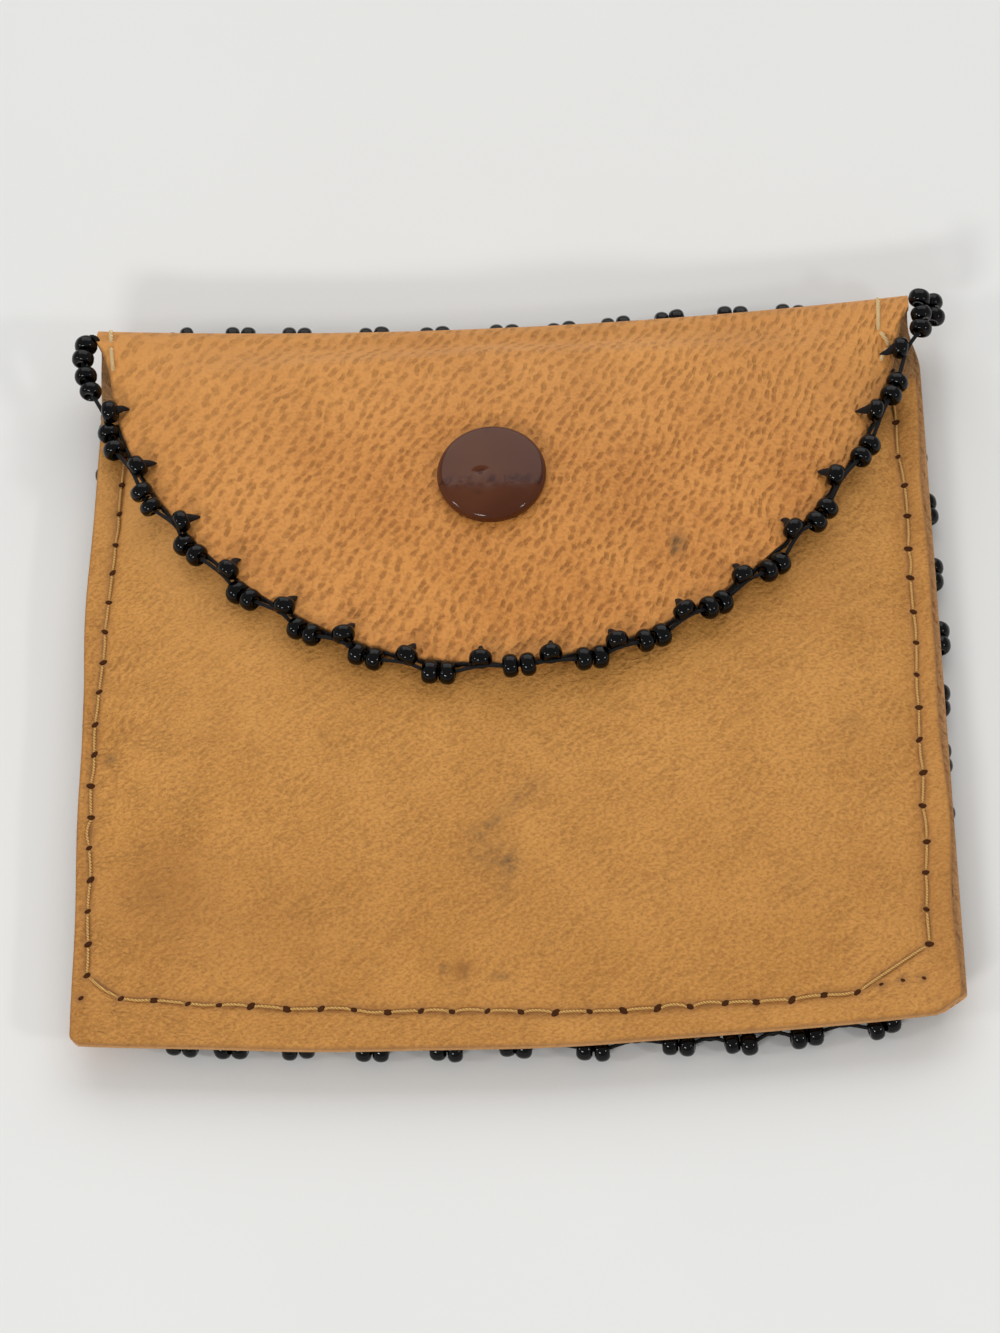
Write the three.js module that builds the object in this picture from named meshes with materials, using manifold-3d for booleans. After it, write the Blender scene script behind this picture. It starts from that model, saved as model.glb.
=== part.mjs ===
// Beaded coin purse: a leather purse with a rolled fold, a curved flap closed by a
// snap, a sewn front pocket and black bead edging. Millimetres, +Z out of the front,
// +Y towards the fold. It lies on the bead rows of its back, whose crests are at z = 0.
import * as THREE from 'three';
import { mergeVertices } from 'three/addons/utils/BufferGeometryUtils.js';
import Module from 'manifold-3d';

const wasm = await Module();
wasm.setup();

// Leather
const LEATHER = 0.9;            // thickness of every leather piece
const FOLD_HALF = 46.4;         // half width at the fold
const BODY_FLARE = 0.7;         // back and pocket, wider than the fold each side
const FLAP_INSET = 1.5;         // flap's curve, narrower than the fold each side
const FOLD_DIP = 2.0;           // how far the fold sags towards the snap at its middle
const FOLD_RADIUS = 2.6;        // outer radius of the rolled fold
const BODY_LENGTH = 87.15;      // from the fold's centre line to the bottom corners
const REST_SHIFT = 0.375;       // middle of that length, below the middle bead lane
const BOTTOM_BOW = 2.3;         // how far the bottom edge bows out at its middle
const CORNER_CUT_LEFT = 0.8;    // bottom corners, cut across
const CORNER_CUT_RIGHT = 2.6;
const SEAM_MARGIN = 3.1;        // flat strip outside the stitches
const MOUTH_DROP = 7.45;        // pocket mouth below the fold's centre line
const HOLLOW = 5.0;             // how far the pocket stands open at its middle
const FLAP_DEPTH = 46.2;        // from the fold's centre line to the flap's tip
const FLARE_LENGTH = 8;         // where the flap widens to the fold's width
const FLAP_CLEARANCE = 0.75;    // between the pocket and the flap
const SEAT = 0.1;               // gap between pieces that lie on each other
const HINGE_GAP = 0.15;         // each side of the line where back and flap part

// Beads
const BEAD_RADIUS = 1.05;
const BEAD_LENGTH = 1.5;
const THREAD_RADIUS = 0.3;
const BEAD_SIDES = 5;
const UNIT_LENGTH = 7.75;       // one single bead and one pair along the edging
const PAIR_LENGTH = 2.45;       // between the two beads of a pair
const LANES = 7;
const LANE_GAP = 0.1;
const CREST_WIDTH = 1.0;
const CREST_DEPTH = 0.75;       // from a row's crest to the valley beside it
const SHORT_ROWS = 3;           // rows left off each end of the outer lanes
const PATCH_THICKNESS = 0.6;
const PATCH_CORNER = 6;
const PATCH_INSET_LEFT = 4;     // least strip of leather beside the patch
const PATCH_INSET_RIGHT = 1.9;
const PATCH_INSET_LENGTH = 1.575; // at its ends, less the shift
const EDGING_STEP = 1.5;        // from the single beads out to the pairs
const BEAD_PLAY = 0.15;         // between a bead and the edge that it lies on
const BACK_EDGING_BOW = 0.75;
const CLUSTER_STEP = 2.4;       // between the beads beside the fold
const FLAP_SINGLES = 16;
const FLAP_EDGING_START = 0.063;
const FLAP_EDGING_END = 0.972;

// Snap
const SNAP_X = -1.2;
const SNAP_DROP = 23.65;        // below the fold's centre line
const CAP_RADIUS = 6.35;
const CAP_HEIGHT = 1.9;
const CAP_RIM = 0.7;            // height of the cap's rolled edge
const SNAP_STACK = 2.4;         // between the two leathers at the snap
const POST_RADIUS = 1.2;
const POST_HOLE_PLAY = 0.3;
const POST_HEAD_RADIUS = 1.9;
const PLATE = 0.4;              // sheet metal of socket, stud and eyelet
const SOCKET_RADIUS = 4.4;
const SOCKET_CAVITY = 3.0;
const SOCKET_MOUTH = 2.4;
const SPRING_RADIUS = 2.45;
const SPRING_WIRE = 0.22;
const STUD_NECK = 1.3;
const STUD_HEAD = 1.5;
const STUD_FLANGE = 4.5;
const STUD_ROUND = 0.25;
const STUD_CLEARANCE = 0.15;    // between stud and socket
const EYELET_FLANGE = 4.5;
const EYELET_RADIUS = 0.85;
const EYELET_WALL = 0.3;
const FLAP_FLAT = 8;            // flat leather round the cap
const FLAP_FLAT_FADE = 14;
const POCKET_FLAT = 5.5;        // flat leather round the stud
const POCKET_FLAT_FADE = 5;
const ROUND_SIDES = 20;

// Heights, from the bead crests up
const laneTop = 2 * BEAD_RADIUS;
const patchBottom = laneTop + SEAT;
const patchTop = patchBottom + PATCH_THICKNESS;
const backBottom = patchTop + SEAT;
const backTop = backBottom + LEATHER;
const seamBottom = backTop + SEAT;
const seamTop = seamBottom + LEATHER;
const foldZ = backBottom + FOLD_RADIUS;
const foldTop = foldZ + FOLD_RADIUS;
const backHalf = FOLD_HALF + BODY_FLARE;
const flapHalf = FOLD_HALF - FLAP_INSET;
const foldY = BODY_LENGTH / 2 - REST_SHIFT;
const mouthY = foldY - MOUTH_DROP;
const bottomY = foldY - BODY_LENGTH;
const snapY = foldY - SNAP_DROP;
const rollStart = HINGE_GAP / FOLD_RADIUS;

const tan = new THREE.MeshStandardMaterial({ color: 0xc68a4b, roughness: 0.75, metalness: 0 });
const palerTan = new THREE.MeshStandardMaterial({ color: 0xc08b4c, roughness: 0.7, metalness: 0 });
const black = new THREE.MeshStandardMaterial({ color: 0x0c0c0e, roughness: 0.15, metalness: 0 });
const felt = new THREE.MeshStandardMaterial({ color: 0x1a1818, roughness: 0.9, metalness: 0 });
const brown = new THREE.MeshStandardMaterial({ color: 0x5e3626, roughness: 0.25, metalness: 0 });
const steel = new THREE.MeshStandardMaterial({ color: 0xb9b6ae, roughness: 0.35, metalness: 0.9 });

const purse = new THREE.Group();

function addPiece(name, geometry, material) {
  const mesh = new THREE.Mesh(geometry, material);
  mesh.name = name;
  purse.add(mesh);
  return mesh;
}

const clamp = (value, low, high) => Math.min(high, Math.max(low, value));

function smooth(t) {
  const s = clamp(t, 0, 1);
  return s * s * (3 - 2 * s);
}

// Turns every face out, by the sign of the enclosed volume, and sets the normals.
function faceOut(geometry) {
  const p = geometry.attributes.position;
  const index = geometry.index.array;
  const [a, b, c] = [new THREE.Vector3(), new THREE.Vector3(), new THREE.Vector3()];
  let volume = 0;
  for (let i = 0; i < index.length; i += 3) {
    a.fromBufferAttribute(p, index[i]);
    b.fromBufferAttribute(p, index[i + 1]);
    c.fromBufferAttribute(p, index[i + 2]);
    volume += a.dot(b.cross(c));
  }
  if (volume < 0) {
    for (let i = 0; i < index.length; i += 3) {
      [index[i + 1], index[i + 2]] = [index[i + 2], index[i + 1]];
    }
  }
  geometry.computeVertexNormals();
  return geometry;
}

function weld(geometry) {
  for (const name of ['normal', 'uv']) geometry.deleteAttribute(name);
  return mergeVertices(geometry, 1e-4);
}

// A sheet with thickness: place(u, v, w) maps u and v in 0..1 over the sheet and
// w in 0..1 through it.
function sheet(across, along, place) {
  const geometry = weld(new THREE.BoxGeometry(1, 1, 1, across, along, 1));
  const p = geometry.attributes.position;
  for (let i = 0; i < p.count; i++) {
    p.setXYZ(i, ...place(p.getX(i) + 0.5, p.getY(i) + 0.5, p.getZ(i) + 0.5));
  }
  return faceOut(geometry);
}

function toSolid(geometry) {
  const g = weld(geometry.clone());
  const vertProperties = Float32Array.from(g.attributes.position.array);
  const triVerts = Uint32Array.from(g.index.array);
  return new wasm.Manifold(new wasm.Mesh({ numProp: 3, vertProperties, triVerts }));
}

function fromSolid(solid) {
  const { vertProperties, triVerts } = solid.getMesh();
  const geometry = new THREE.BufferGeometry();
  geometry.setAttribute('position', new THREE.BufferAttribute(vertProperties, 3));
  geometry.setIndex(new THREE.BufferAttribute(triVerts, 1));
  return faceOut(geometry);
}

// A round hole through the leather at the snap.
function punch(geometry, radius) {
  const tool = new THREE.CylinderGeometry(radius, radius, 4 * foldTop, ROUND_SIDES);
  tool.rotateX(Math.PI / 2);
  tool.translate(SNAP_X, snapY, 0);
  return fromSolid(toSolid(geometry).subtract(toSolid(tool)));
}

// A turned piece about the snap's axis; points are [radius, z], closed on the axis or on
// themselves.
function turned(points) {
  const profile = points.map(([r, z]) => new THREE.Vector2(r, z));
  const geometry = weld(new THREE.LatheGeometry(profile, ROUND_SIDES));
  geometry.rotateX(Math.PI / 2);
  geometry.translate(SNAP_X, snapY, 0);
  return faceOut(dropEmptyFaces(geometry));
}

function dropEmptyFaces(geometry) {
  const old = geometry.index.array;
  const kept = [];
  for (let i = 0; i < old.length; i += 3) {
    const [a, b, c] = [old[i], old[i + 1], old[i + 2]];
    if (a !== b && b !== c && c !== a) kept.push(a, b, c);
  }
  geometry.setIndex(kept);
  return geometry;
}

// Bottom edge of the back and the pocket, bowed, with its corners cut across.
function bottomEdge(x) {
  const cut = x < 0 ? CORNER_CUT_LEFT : CORNER_CUT_RIGHT;
  const past = Math.max(0, Math.abs(x) - (backHalf - cut));
  return bottomY - BOTTOM_BOW * (1 - (x / backHalf) ** 2) + past;
}

const snapDistance = (x, y) => Math.hypot(x - SNAP_X, y - snapY);

// Outer face of the pocket: flat at the seams, domed between them.
function pocketDome(x, y) {
  const sides = 1 - Math.min(1, Math.abs(x) / (backHalf - SEAM_MARGIN)) ** 4;
  const reach = mouthY - bottomEdge(x) - SEAM_MARGIN;
  const length = 1 - clamp((mouthY - y) / reach, 0, 1) ** 4;
  return seamTop + HOLLOW * sides * length;
}

const pocketFlatZ = pocketDome(SNAP_X, snapY);
const flapFlatBottom = pocketFlatZ + SNAP_STACK;

function pocketTop(x, y) {
  const flat = 1 - smooth((snapDistance(x, y) - POCKET_FLAT) / POCKET_FLAT_FADE);
  return THREE.MathUtils.lerp(pocketDome(x, y), pocketFlatZ, flat);
}

// Centre line of the fold, which sags in the middle.
const foldLine = (x) => foldY - FOLD_DIP * (1 - Math.min(1, Math.abs(x) / FOLD_HALF) ** 2);

// Under face of the flap: from the fold over the pocket, up to the snap's flat.
function flapBottom(x, y) {
  const overPocket = pocketDome(x, y) + FLAP_CLEARANCE;
  const reach = foldLine(x) - mouthY - FLAP_CLEARANCE / 2;
  const fromFold = smooth((foldLine(x) - y) / reach);
  const cover = THREE.MathUtils.lerp(foldTop - LEATHER, overPocket, fromFold);
  const flat = 1 - smooth((snapDistance(x, y) - FLAP_FLAT) / FLAP_FLAT_FADE);
  return THREE.MathUtils.lerp(cover, flapFlatBottom, flat);
}

// A quarter of the rolled fold; turn runs from 0 at the bottom to pi/2 at the outside.
function rollPoint(x, turn, depth) {
  const radius = FOLD_RADIUS - depth;
  return [foldLine(x) + radius * Math.sin(turn), foldZ - radius * Math.cos(turn)];
}

// Back panel
function backPanel() {
  const rollRows = 4;
  const rows = 12;
  const rollShare = rollRows / rows;
  const place = (u, v, w) => {
    const side = 2 * u - 1;
    if (v > 1 - rollShare + 1e-6) {
      const turn = ((v - 1 + rollShare) / rollShare) * (Math.PI / 2 - rollStart);
      const [y, z] = rollPoint(side * FOLD_HALF, turn, LEATHER * w);
      return [side * FOLD_HALF, y, z];
    }
    const t = v / (1 - rollShare);
    const half = THREE.MathUtils.lerp(backHalf, FOLD_HALF, smooth((t - 0.7) / 0.3));
    const low = bottomEdge(side * backHalf);
    const high = foldLine(side * FOLD_HALF);
    return [side * half, low + t * (high - low), backBottom + LEATHER * w];
  };
  return sheet(14, rows, place);
}

// Front pocket; its outermost cells are the flat strip outside the stitches.
function frontPocket() {
  const columns = 20;
  const rows = 14;
  const domeHalf = backHalf - SEAM_MARGIN;
  const place = (u, v, w) => {
    const side = Math.abs(2 * u - 1);
    const strip = side - 1 + 2 / columns;
    const reach = strip <= 0
      ? (domeHalf * side) / (1 - 2 / columns)
      : domeHalf + (SEAM_MARGIN * strip * columns) / 2;
    const x = u < 0.5 ? -reach : reach;
    const low = bottomEdge(x);
    const t = (v * rows - 1) / (rows - 1);
    const y = v * rows < 1
      ? low + SEAM_MARGIN * v * rows
      : low + SEAM_MARGIN + t * (mouthY - low - SEAM_MARGIN);
    return [x, y, pocketTop(x, y) - LEATHER * (1 - w)];
  };
  return punch(sheet(columns, rows, place), EYELET_RADIUS + POST_HOLE_PLAY);
}

// Flap with the upper quarter of the roll
function flap() {
  const rollRows = 4;
  const rows = 18;
  const rollShare = rollRows / rows;
  const place = (u, v, w) => {
    const side = 2 * u - 1;
    if (v < rollShare - 1e-6) {
      const turn = Math.PI / 2 + rollStart + (v / rollShare) * (Math.PI / 2 - rollStart);
      const [y, z] = rollPoint(side * FOLD_HALF, turn, LEATHER * (1 - w));
      return [side * FOLD_HALF, y, z];
    }
    const t = (v - rollShare) / (1 - rollShare);
    const widen = (FOLD_HALF - flapHalf) * Math.max(0, 1 - (t * FLAP_DEPTH) / FLARE_LENGTH) ** 2;
    const x = (flapHalf + widen) * side * Math.sqrt(1 - (t * t) / 2);
    const sag = (foldY - foldLine(side * FOLD_HALF)) * Math.max(0, 1 - t / 0.35);
    const y = foldY - sag - FLAP_DEPTH * t * Math.sqrt(1 - (side * side) / 2);
    return [x, y, flapBottom(x, y) + LEATHER * w];
  };
  return punch(sheet(22, rows, place), POST_RADIUS + POST_HOLE_PLAY);
}

// A string of beads: rings round each bead's axis, joined by the thread between them.
function beadString(beads) {
  const rings = [];
  const up = new THREE.Vector3(0, 0, 1);
  beads.forEach((bead, i) => {
    const before = beads[Math.max(0, i - 1)];
    const after = beads[Math.min(beads.length - 1, i + 1)];
    const axis = new THREE.Vector3().subVectors(after, before).normalize();
    const across = new THREE.Vector3().crossVectors(up, axis).normalize();
    const over = new THREE.Vector3().crossVectors(axis, across);
    const shape = [
      [-BEAD_LENGTH / 2, THREAD_RADIUS],
      [-BEAD_LENGTH / 3, BEAD_RADIUS],
      [BEAD_LENGTH / 3, BEAD_RADIUS],
    ];
    if (i === beads.length - 1) shape.push([BEAD_LENGTH / 2, THREAD_RADIUS]);
    for (const [along, radius] of shape) {
      const centre = bead.clone().addScaledVector(axis, along);
      rings.push({ centre, radius, across, over });
    }
  });
  const positions = [];
  for (const ring of rings) {
    for (let k = 0; k < BEAD_SIDES; k++) {
      const turn = (2 * Math.PI * k) / BEAD_SIDES;
      const point = ring.centre.clone()
        .addScaledVector(ring.across, ring.radius * Math.cos(turn))
        .addScaledVector(ring.over, ring.radius * Math.sin(turn));
      positions.push(point.x, point.y, point.z);
    }
  }
  const faces = [];
  const at = (ring, k) => ring * BEAD_SIDES + (k % BEAD_SIDES);
  for (let r = 0; r + 1 < rings.length; r++) {
    for (let k = 0; k < BEAD_SIDES; k++) {
      faces.push(at(r, k), at(r, k + 1), at(r + 1, k + 1));
      faces.push(at(r, k), at(r + 1, k + 1), at(r + 1, k));
    }
  }
  for (let k = 1; k + 1 < BEAD_SIDES; k++) {
    faces.push(at(0, 0), at(0, k + 1), at(0, k));
    faces.push(at(rings.length - 1, 0), at(rings.length - 1, k), at(rings.length - 1, k + 1));
  }
  const geometry = new THREE.BufferGeometry();
  geometry.setAttribute('position', new THREE.Float32BufferAttribute(positions, 3));
  geometry.setIndex(faces);
  return faceOut(geometry);
}

// Point on a flat curve at share t of its length, moved outwards from a curve that
// runs anticlockwise.
function besideCurve(curve, t, outwards) {
  const step = 1e-3;
  const a = curve.getPointAt(clamp(t - step, 0, 1));
  const b = curve.getPointAt(clamp(t + step, 0, 1));
  const tangent = b.sub(a).normalize();
  const p = curve.getPointAt(clamp(t, 0, 1));
  return new THREE.Vector2(p.x + tangent.y * outwards, p.y - tangent.x * outwards);
}

// Bead lanes of the back and the patch that carries them
const rowPitch = 2 * BEAD_RADIUS;
const rowsLeft = Math.floor((backHalf - PATCH_INSET_LEFT) / rowPitch - 0.5);
const rowsRight = Math.floor((backHalf - PATCH_INSET_RIGHT) / rowPitch - 0.5);
const patchLeft = -(rowsLeft + 0.5) * rowPitch;
const patchRight = (rowsRight + 0.5) * rowPitch;
const patchHalfLength = BODY_LENGTH / 2 - PATCH_INSET_LENGTH;
const rowLength = (2 * patchHalfLength) / LANES;

function beadLane(index) {
  const outer = index === 0 || index === LANES - 1;
  const first = -rowsLeft + (outer ? SHORT_ROWS : 0);
  const last = rowsRight - (outer ? SHORT_ROWS : 0);
  const shape = new THREE.Shape();
  shape.moveTo((last + 0.5) * rowPitch, laneTop);
  shape.lineTo((first - 0.5) * rowPitch, laneTop);
  shape.lineTo((first - 0.5) * rowPitch, CREST_DEPTH);
  for (let row = first; row <= last; row++) {
    shape.lineTo(row * rowPitch - CREST_WIDTH / 2, 0);
    shape.lineTo(row * rowPitch + CREST_WIDTH / 2, 0);
    shape.lineTo((row + 0.5) * rowPitch, CREST_DEPTH);
  }
  const depth = rowLength - LANE_GAP;
  const geometry = weld(new THREE.ExtrudeGeometry(shape, { depth, bevelEnabled: false }));
  geometry.rotateX(Math.PI / 2);
  geometry.translate(0, (index - (LANES - 1) / 2) * rowLength + depth / 2, 0);
  return faceOut(geometry);
}

function roundedOutline(left, right, low, high, radius) {
  const shape = new THREE.Shape();
  shape.moveTo(left + radius, low);
  shape.lineTo(right - radius, low);
  shape.absarc(right - radius, low + radius, radius, -Math.PI / 2, 0, false);
  shape.lineTo(right, high - radius);
  shape.absarc(right - radius, high - radius, radius, 0, Math.PI / 2, false);
  shape.lineTo(left + radius, high);
  shape.absarc(left + radius, high - radius, radius, Math.PI / 2, Math.PI, false);
  shape.lineTo(left, low + radius);
  shape.absarc(left + radius, low + radius, radius, Math.PI, 1.5 * Math.PI, false);
  return shape;
}

function backPatch() {
  const outline = roundedOutline(
    patchLeft, patchRight, -patchHalfLength, patchHalfLength, PATCH_CORNER);
  const options = { depth: PATCH_THICKNESS, bevelEnabled: false, curveSegments: 6 };
  const geometry = weld(new THREE.ExtrudeGeometry(outline, options));
  geometry.translate(0, 0, patchBottom);
  return faceOut(geometry);
}

// Edging round the back patch: single beads against its edge, pairs outside them.
function backEdging() {
  const inner = BEAD_RADIUS + BEAD_PLAY;
  const outline = roundedOutline(
    patchLeft - inner, patchRight + inner,
    -patchHalfLength - inner, patchHalfLength + inner, PATCH_CORNER + inner);
  const units = Math.round(outline.getLength() / UNIT_LENGTH);
  const unit = outline.getLength() / units;
  const height = backBottom - BEAD_RADIUS - BEAD_PLAY;
  const lastY = -patchHalfLength;
  const beads = [];
  const put = (distance, outwards) => {
    const p = besideCurve(outline, distance / outline.getLength(), outwards);
    const bow = BACK_EDGING_BOW * (1 - (p.x / backHalf) ** 2) * smooth(lastY - p.y);
    beads.push(new THREE.Vector3(p.x, p.y - bow, height));
  };
  for (let i = 0; i < units; i++) {
    put(i * unit + 0.1 * unit, 0);
    put((i + 0.6) * unit - PAIR_LENGTH / 2, EDGING_STEP);
    put((i + 0.6) * unit + PAIR_LENGTH / 2, EDGING_STEP);
  }
  return beadString(beads);
}

// Edging of the flap's curve: single beads on the rim, pairs outside it, and a small
// cluster at each end of the fold.
function flapEdging() {
  const rim = new THREE.EllipseCurve(
    0, foldY, flapHalf, FLAP_DEPTH, Math.PI, 2 * Math.PI, false);
  const length = rim.getLength();
  const outside = BEAD_RADIUS + BEAD_PLAY;
  const clusterX = FOLD_HALF + outside;
  const clusterZ = foldTop - LEATHER / 2 - BEAD_PLAY;
  const beads = [];
  const cluster = (points) => {
    for (const [x, steps] of points) {
      beads.push(new THREE.Vector3(x, foldY + steps * CLUSTER_STEP, clusterZ));
    }
  };
  const put = (t, outwards, lift) => {
    const p = besideCurve(rim, t, outwards);
    const edge = besideCurve(rim, t, 0);
    const onLeather = flapBottom(edge.x, edge.y) + lift;
    const onPocket = pocketDome(p.x, p.y) + outside;
    beads.push(new THREE.Vector3(p.x, p.y, Math.max(onLeather, onPocket)));
  };
  cluster([
    [-clusterX, 0.5],
    [-clusterX, -0.5],
    [-clusterX, -1.5],
  ]);
  const step = (FLAP_EDGING_END - FLAP_EDGING_START) / (FLAP_SINGLES - 1);
  for (let i = 0; i < FLAP_SINGLES; i++) {
    const t = FLAP_EDGING_START + i * step;
    put(t, 0.5 * outside, LEATHER + outside);
    if (i === FLAP_SINGLES - 1) break;
    const half = PAIR_LENGTH / 2 / length;
    put(t + 0.5 * step - half, outside, LEATHER / 2);
    put(t + 0.5 * step + half, outside, LEATHER / 2);
  }
  const outerX = clusterX + 2 * BEAD_RADIUS + BEAD_PLAY;
  cluster([
    [clusterX, -1],
    [outerX, -0.625],
    [clusterX, -0.125],
    [outerX, 0.335],
    [clusterX, 0.79],
    [outerX, 1.29],
  ]);
  return beadString(beads);
}

// Snap
const capSeat = flapFlatBottom + LEATHER + SEAT;
const socketTop = flapFlatBottom - SEAT;
const postEnd = socketTop - 2 * PLATE;
const studBase = pocketFlatZ + SEAT;
const studFlangeTop = studBase + PLATE;
const socketEnd = studFlangeTop + STUD_CLEARANCE;
const studTop = postEnd - STUD_CLEARANCE;
const pocketFlatBottom = pocketFlatZ - LEATHER;
const postHole = POST_RADIUS + POST_HOLE_PLAY;

function snapCap() {
  const points = [
    [0, postEnd],
    [POST_HEAD_RADIUS, postEnd],
    [POST_HEAD_RADIUS, postEnd + PLATE / 2],
    [POST_RADIUS, postEnd + PLATE - SEAT],
    [POST_RADIUS, capSeat],
    [CAP_RADIUS - 0.3 * CAP_RIM, capSeat],
    [CAP_RADIUS, capSeat + 0.3 * CAP_RIM],
    [CAP_RADIUS, capSeat + 0.7 * CAP_RIM],
  ];
  const domeSteps = 6;
  for (let i = 1; i <= domeSteps; i++) {
    const turn = (i / domeSteps) * (Math.PI / 2);
    const radius = i === domeSteps ? 0 : CAP_RADIUS * Math.cos(turn) ** 0.6;
    const height = 0.7 * CAP_RIM + (CAP_HEIGHT - 0.7 * CAP_RIM) * Math.sin(turn) ** 1.2;
    points.push([radius, capSeat + height]);
  }
  return turned(points);
}

function snapSocket() {
  return turned([
    [postHole, socketTop],
    [postHole, socketTop - PLATE],
    [SOCKET_CAVITY, socketTop - PLATE],
    [SOCKET_CAVITY, socketEnd + PLATE],
    [SOCKET_MOUTH, socketEnd + PLATE],
    [SOCKET_MOUTH, socketEnd],
    [SOCKET_RADIUS - PLATE, socketEnd],
    [SOCKET_RADIUS, socketEnd + PLATE],
    [SOCKET_RADIUS, socketTop],
    [postHole, socketTop],
  ]);
}

// The spring is an open ring of wire, so it has a gap and two ends.
function snapSpring() {
  const opening = 0.35;
  const turns = new THREE.EllipseCurve(
    SNAP_X, snapY, SPRING_RADIUS, SPRING_RADIUS, opening, 2 * Math.PI - opening, false);
  const height = socketEnd + PLATE + SPRING_WIRE + SEAT;
  const path = new THREE.CatmullRomCurve3(
    turns.getPoints(20).map((p) => new THREE.Vector3(p.x, p.y, height)));
  const wire = new THREE.Shape().absarc(0, 0, SPRING_WIRE, 0, 2 * Math.PI, false);
  const options = { steps: 28, curveSegments: 3, extrudePath: path, bevelEnabled: false };
  return faceOut(weld(new THREE.ExtrudeGeometry(wire, options)));
}

const boreRadius = EYELET_RADIUS + SEAT;
const boreTop = studTop - PLATE / 2;

function snapStud() {
  return turned([
    [0, studTop],
    [0.8 * STUD_HEAD, studTop],
    [STUD_HEAD, studTop - STUD_ROUND],
    [STUD_NECK, studFlangeTop],
    [STUD_FLANGE - PLATE / 2, studFlangeTop],
    [STUD_FLANGE, studFlangeTop - PLATE / 2],
    [STUD_FLANGE, studBase],
    [boreRadius, studBase],
    [boreRadius, boreTop],
    [0, boreTop],
  ]);
}

function snapEyelet() {
  const top = pocketFlatBottom - SEAT;
  return turned([
    [EYELET_RADIUS - EYELET_WALL, top - PLATE],
    [EYELET_FLANGE, top - PLATE],
    [EYELET_FLANGE, top],
    [EYELET_RADIUS, top],
    [EYELET_RADIUS, boreTop - SEAT],
    [EYELET_RADIUS - EYELET_WALL, boreTop - SEAT],
    [EYELET_RADIUS - EYELET_WALL, top - PLATE],
  ]);
}

addPiece('back_panel', backPanel(), tan);
addPiece('front_pocket', frontPocket(), palerTan);
addPiece('flap', flap(), tan);
addPiece('back_patch', backPatch(), felt);
for (let i = 0; i < LANES; i++) addPiece(`bead_lane_${i + 1}`, beadLane(i), black);
addPiece('back_edging', backEdging(), black);
addPiece('flap_edging', flapEdging(), black);
addPiece('snap_cap', snapCap(), brown);
addPiece('snap_socket', snapSocket(), steel);
addPiece('snap_spring', snapSpring(), steel);
addPiece('snap_stud', snapStud(), steel);
addPiece('snap_eyelet', snapEyelet(), steel);

export default purse;
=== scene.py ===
# Beaded coin purse: leather, bead edging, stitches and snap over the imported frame.
import math

import bmesh
import bpy
import numpy as np
from mathutils import Matrix, Vector


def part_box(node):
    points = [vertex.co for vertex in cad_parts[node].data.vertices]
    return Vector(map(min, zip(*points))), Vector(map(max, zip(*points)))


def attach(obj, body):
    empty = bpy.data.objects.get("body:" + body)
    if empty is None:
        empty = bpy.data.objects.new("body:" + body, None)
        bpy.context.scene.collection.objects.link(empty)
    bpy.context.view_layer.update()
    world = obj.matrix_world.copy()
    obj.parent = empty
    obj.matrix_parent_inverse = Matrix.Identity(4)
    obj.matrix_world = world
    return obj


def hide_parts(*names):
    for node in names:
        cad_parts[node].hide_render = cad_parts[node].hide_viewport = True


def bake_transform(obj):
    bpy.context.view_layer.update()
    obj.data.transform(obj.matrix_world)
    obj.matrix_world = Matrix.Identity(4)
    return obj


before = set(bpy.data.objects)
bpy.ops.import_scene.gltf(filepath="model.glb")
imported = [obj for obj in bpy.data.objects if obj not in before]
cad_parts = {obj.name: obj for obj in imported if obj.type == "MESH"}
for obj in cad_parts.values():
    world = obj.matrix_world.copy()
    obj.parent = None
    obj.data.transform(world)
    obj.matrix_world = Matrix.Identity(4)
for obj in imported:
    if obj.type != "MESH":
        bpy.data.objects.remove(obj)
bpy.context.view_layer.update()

MM = 0.001
PURSE, FLAP = "purse", "flap"


def box_mm(node):
    low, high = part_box(node)
    return np.array(low) / MM, np.array(high) / MM


# Sizes read from the frame, in millimetres
pocket_low, pocket_high = box_mm("front_pocket")
back_low, _ = box_mm("back_panel")
flap_low, flap_high = box_mm("flap")
cap_low, cap_high = box_mm("snap_cap")
socket_low, socket_high = box_mm("snap_socket")
stud_low, stud_high = box_mm("snap_stud")
eyelet_low, eyelet_high = box_mm("snap_eyelet")
spring_low, spring_high = box_mm("snap_spring")

SEAT = 0.1
LEATHER = 0.9
BACK_HALF = pocket_high[0]
MOUTH_Y = pocket_high[1]
BOTTOM_MID_Y = pocket_low[1]
SEAM_TOP = pocket_low[2] + LEATHER
BACK_BOTTOM = back_low[2]
BACK_TOP = BACK_BOTTOM + LEATHER
FOLD_HALF = flap_high[0]
FOLD_RADIUS = 2.6
FOLD_Z = BACK_BOTTOM + FOLD_RADIUS
FOLD_TOP = FOLD_Z + FOLD_RADIUS
FOLD_Y = flap_high[1] - FOLD_RADIUS
FOLD_DIP = 2.0
TIP_Y = flap_low[1]
FLAP_DEPTH = FOLD_Y - TIP_Y
FLAP_HALF = 44.9
FLARE_LENGTH = 8.0
FLAP_CLEARANCE = 0.75
BOTTOM_BOW = 2.3
CORNER_CUT_LEFT = 0.8
CORNER_CUT_RIGHT = 2.6
SEAM_MARGIN = 3.1
HOLLOW = pocket_high[2] - SEAM_TOP
SNAP = (cap_low + cap_high)[:2] / 2
CAP_RADIUS = (cap_high[0] - cap_low[0]) / 2
POCKET_FLAT, POCKET_FLAT_EDGE = 5.5, 5
FLAP_FLAT, FLAP_FLAT_EDGE = 8, 14
POCKET_FLAT_Z = stud_low[2] - SEAT
FLAP_FLAT_Z = socket_high[2] + SEAT
ROW_PITCH = 2.1
ROW_BEADS = 8
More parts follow.
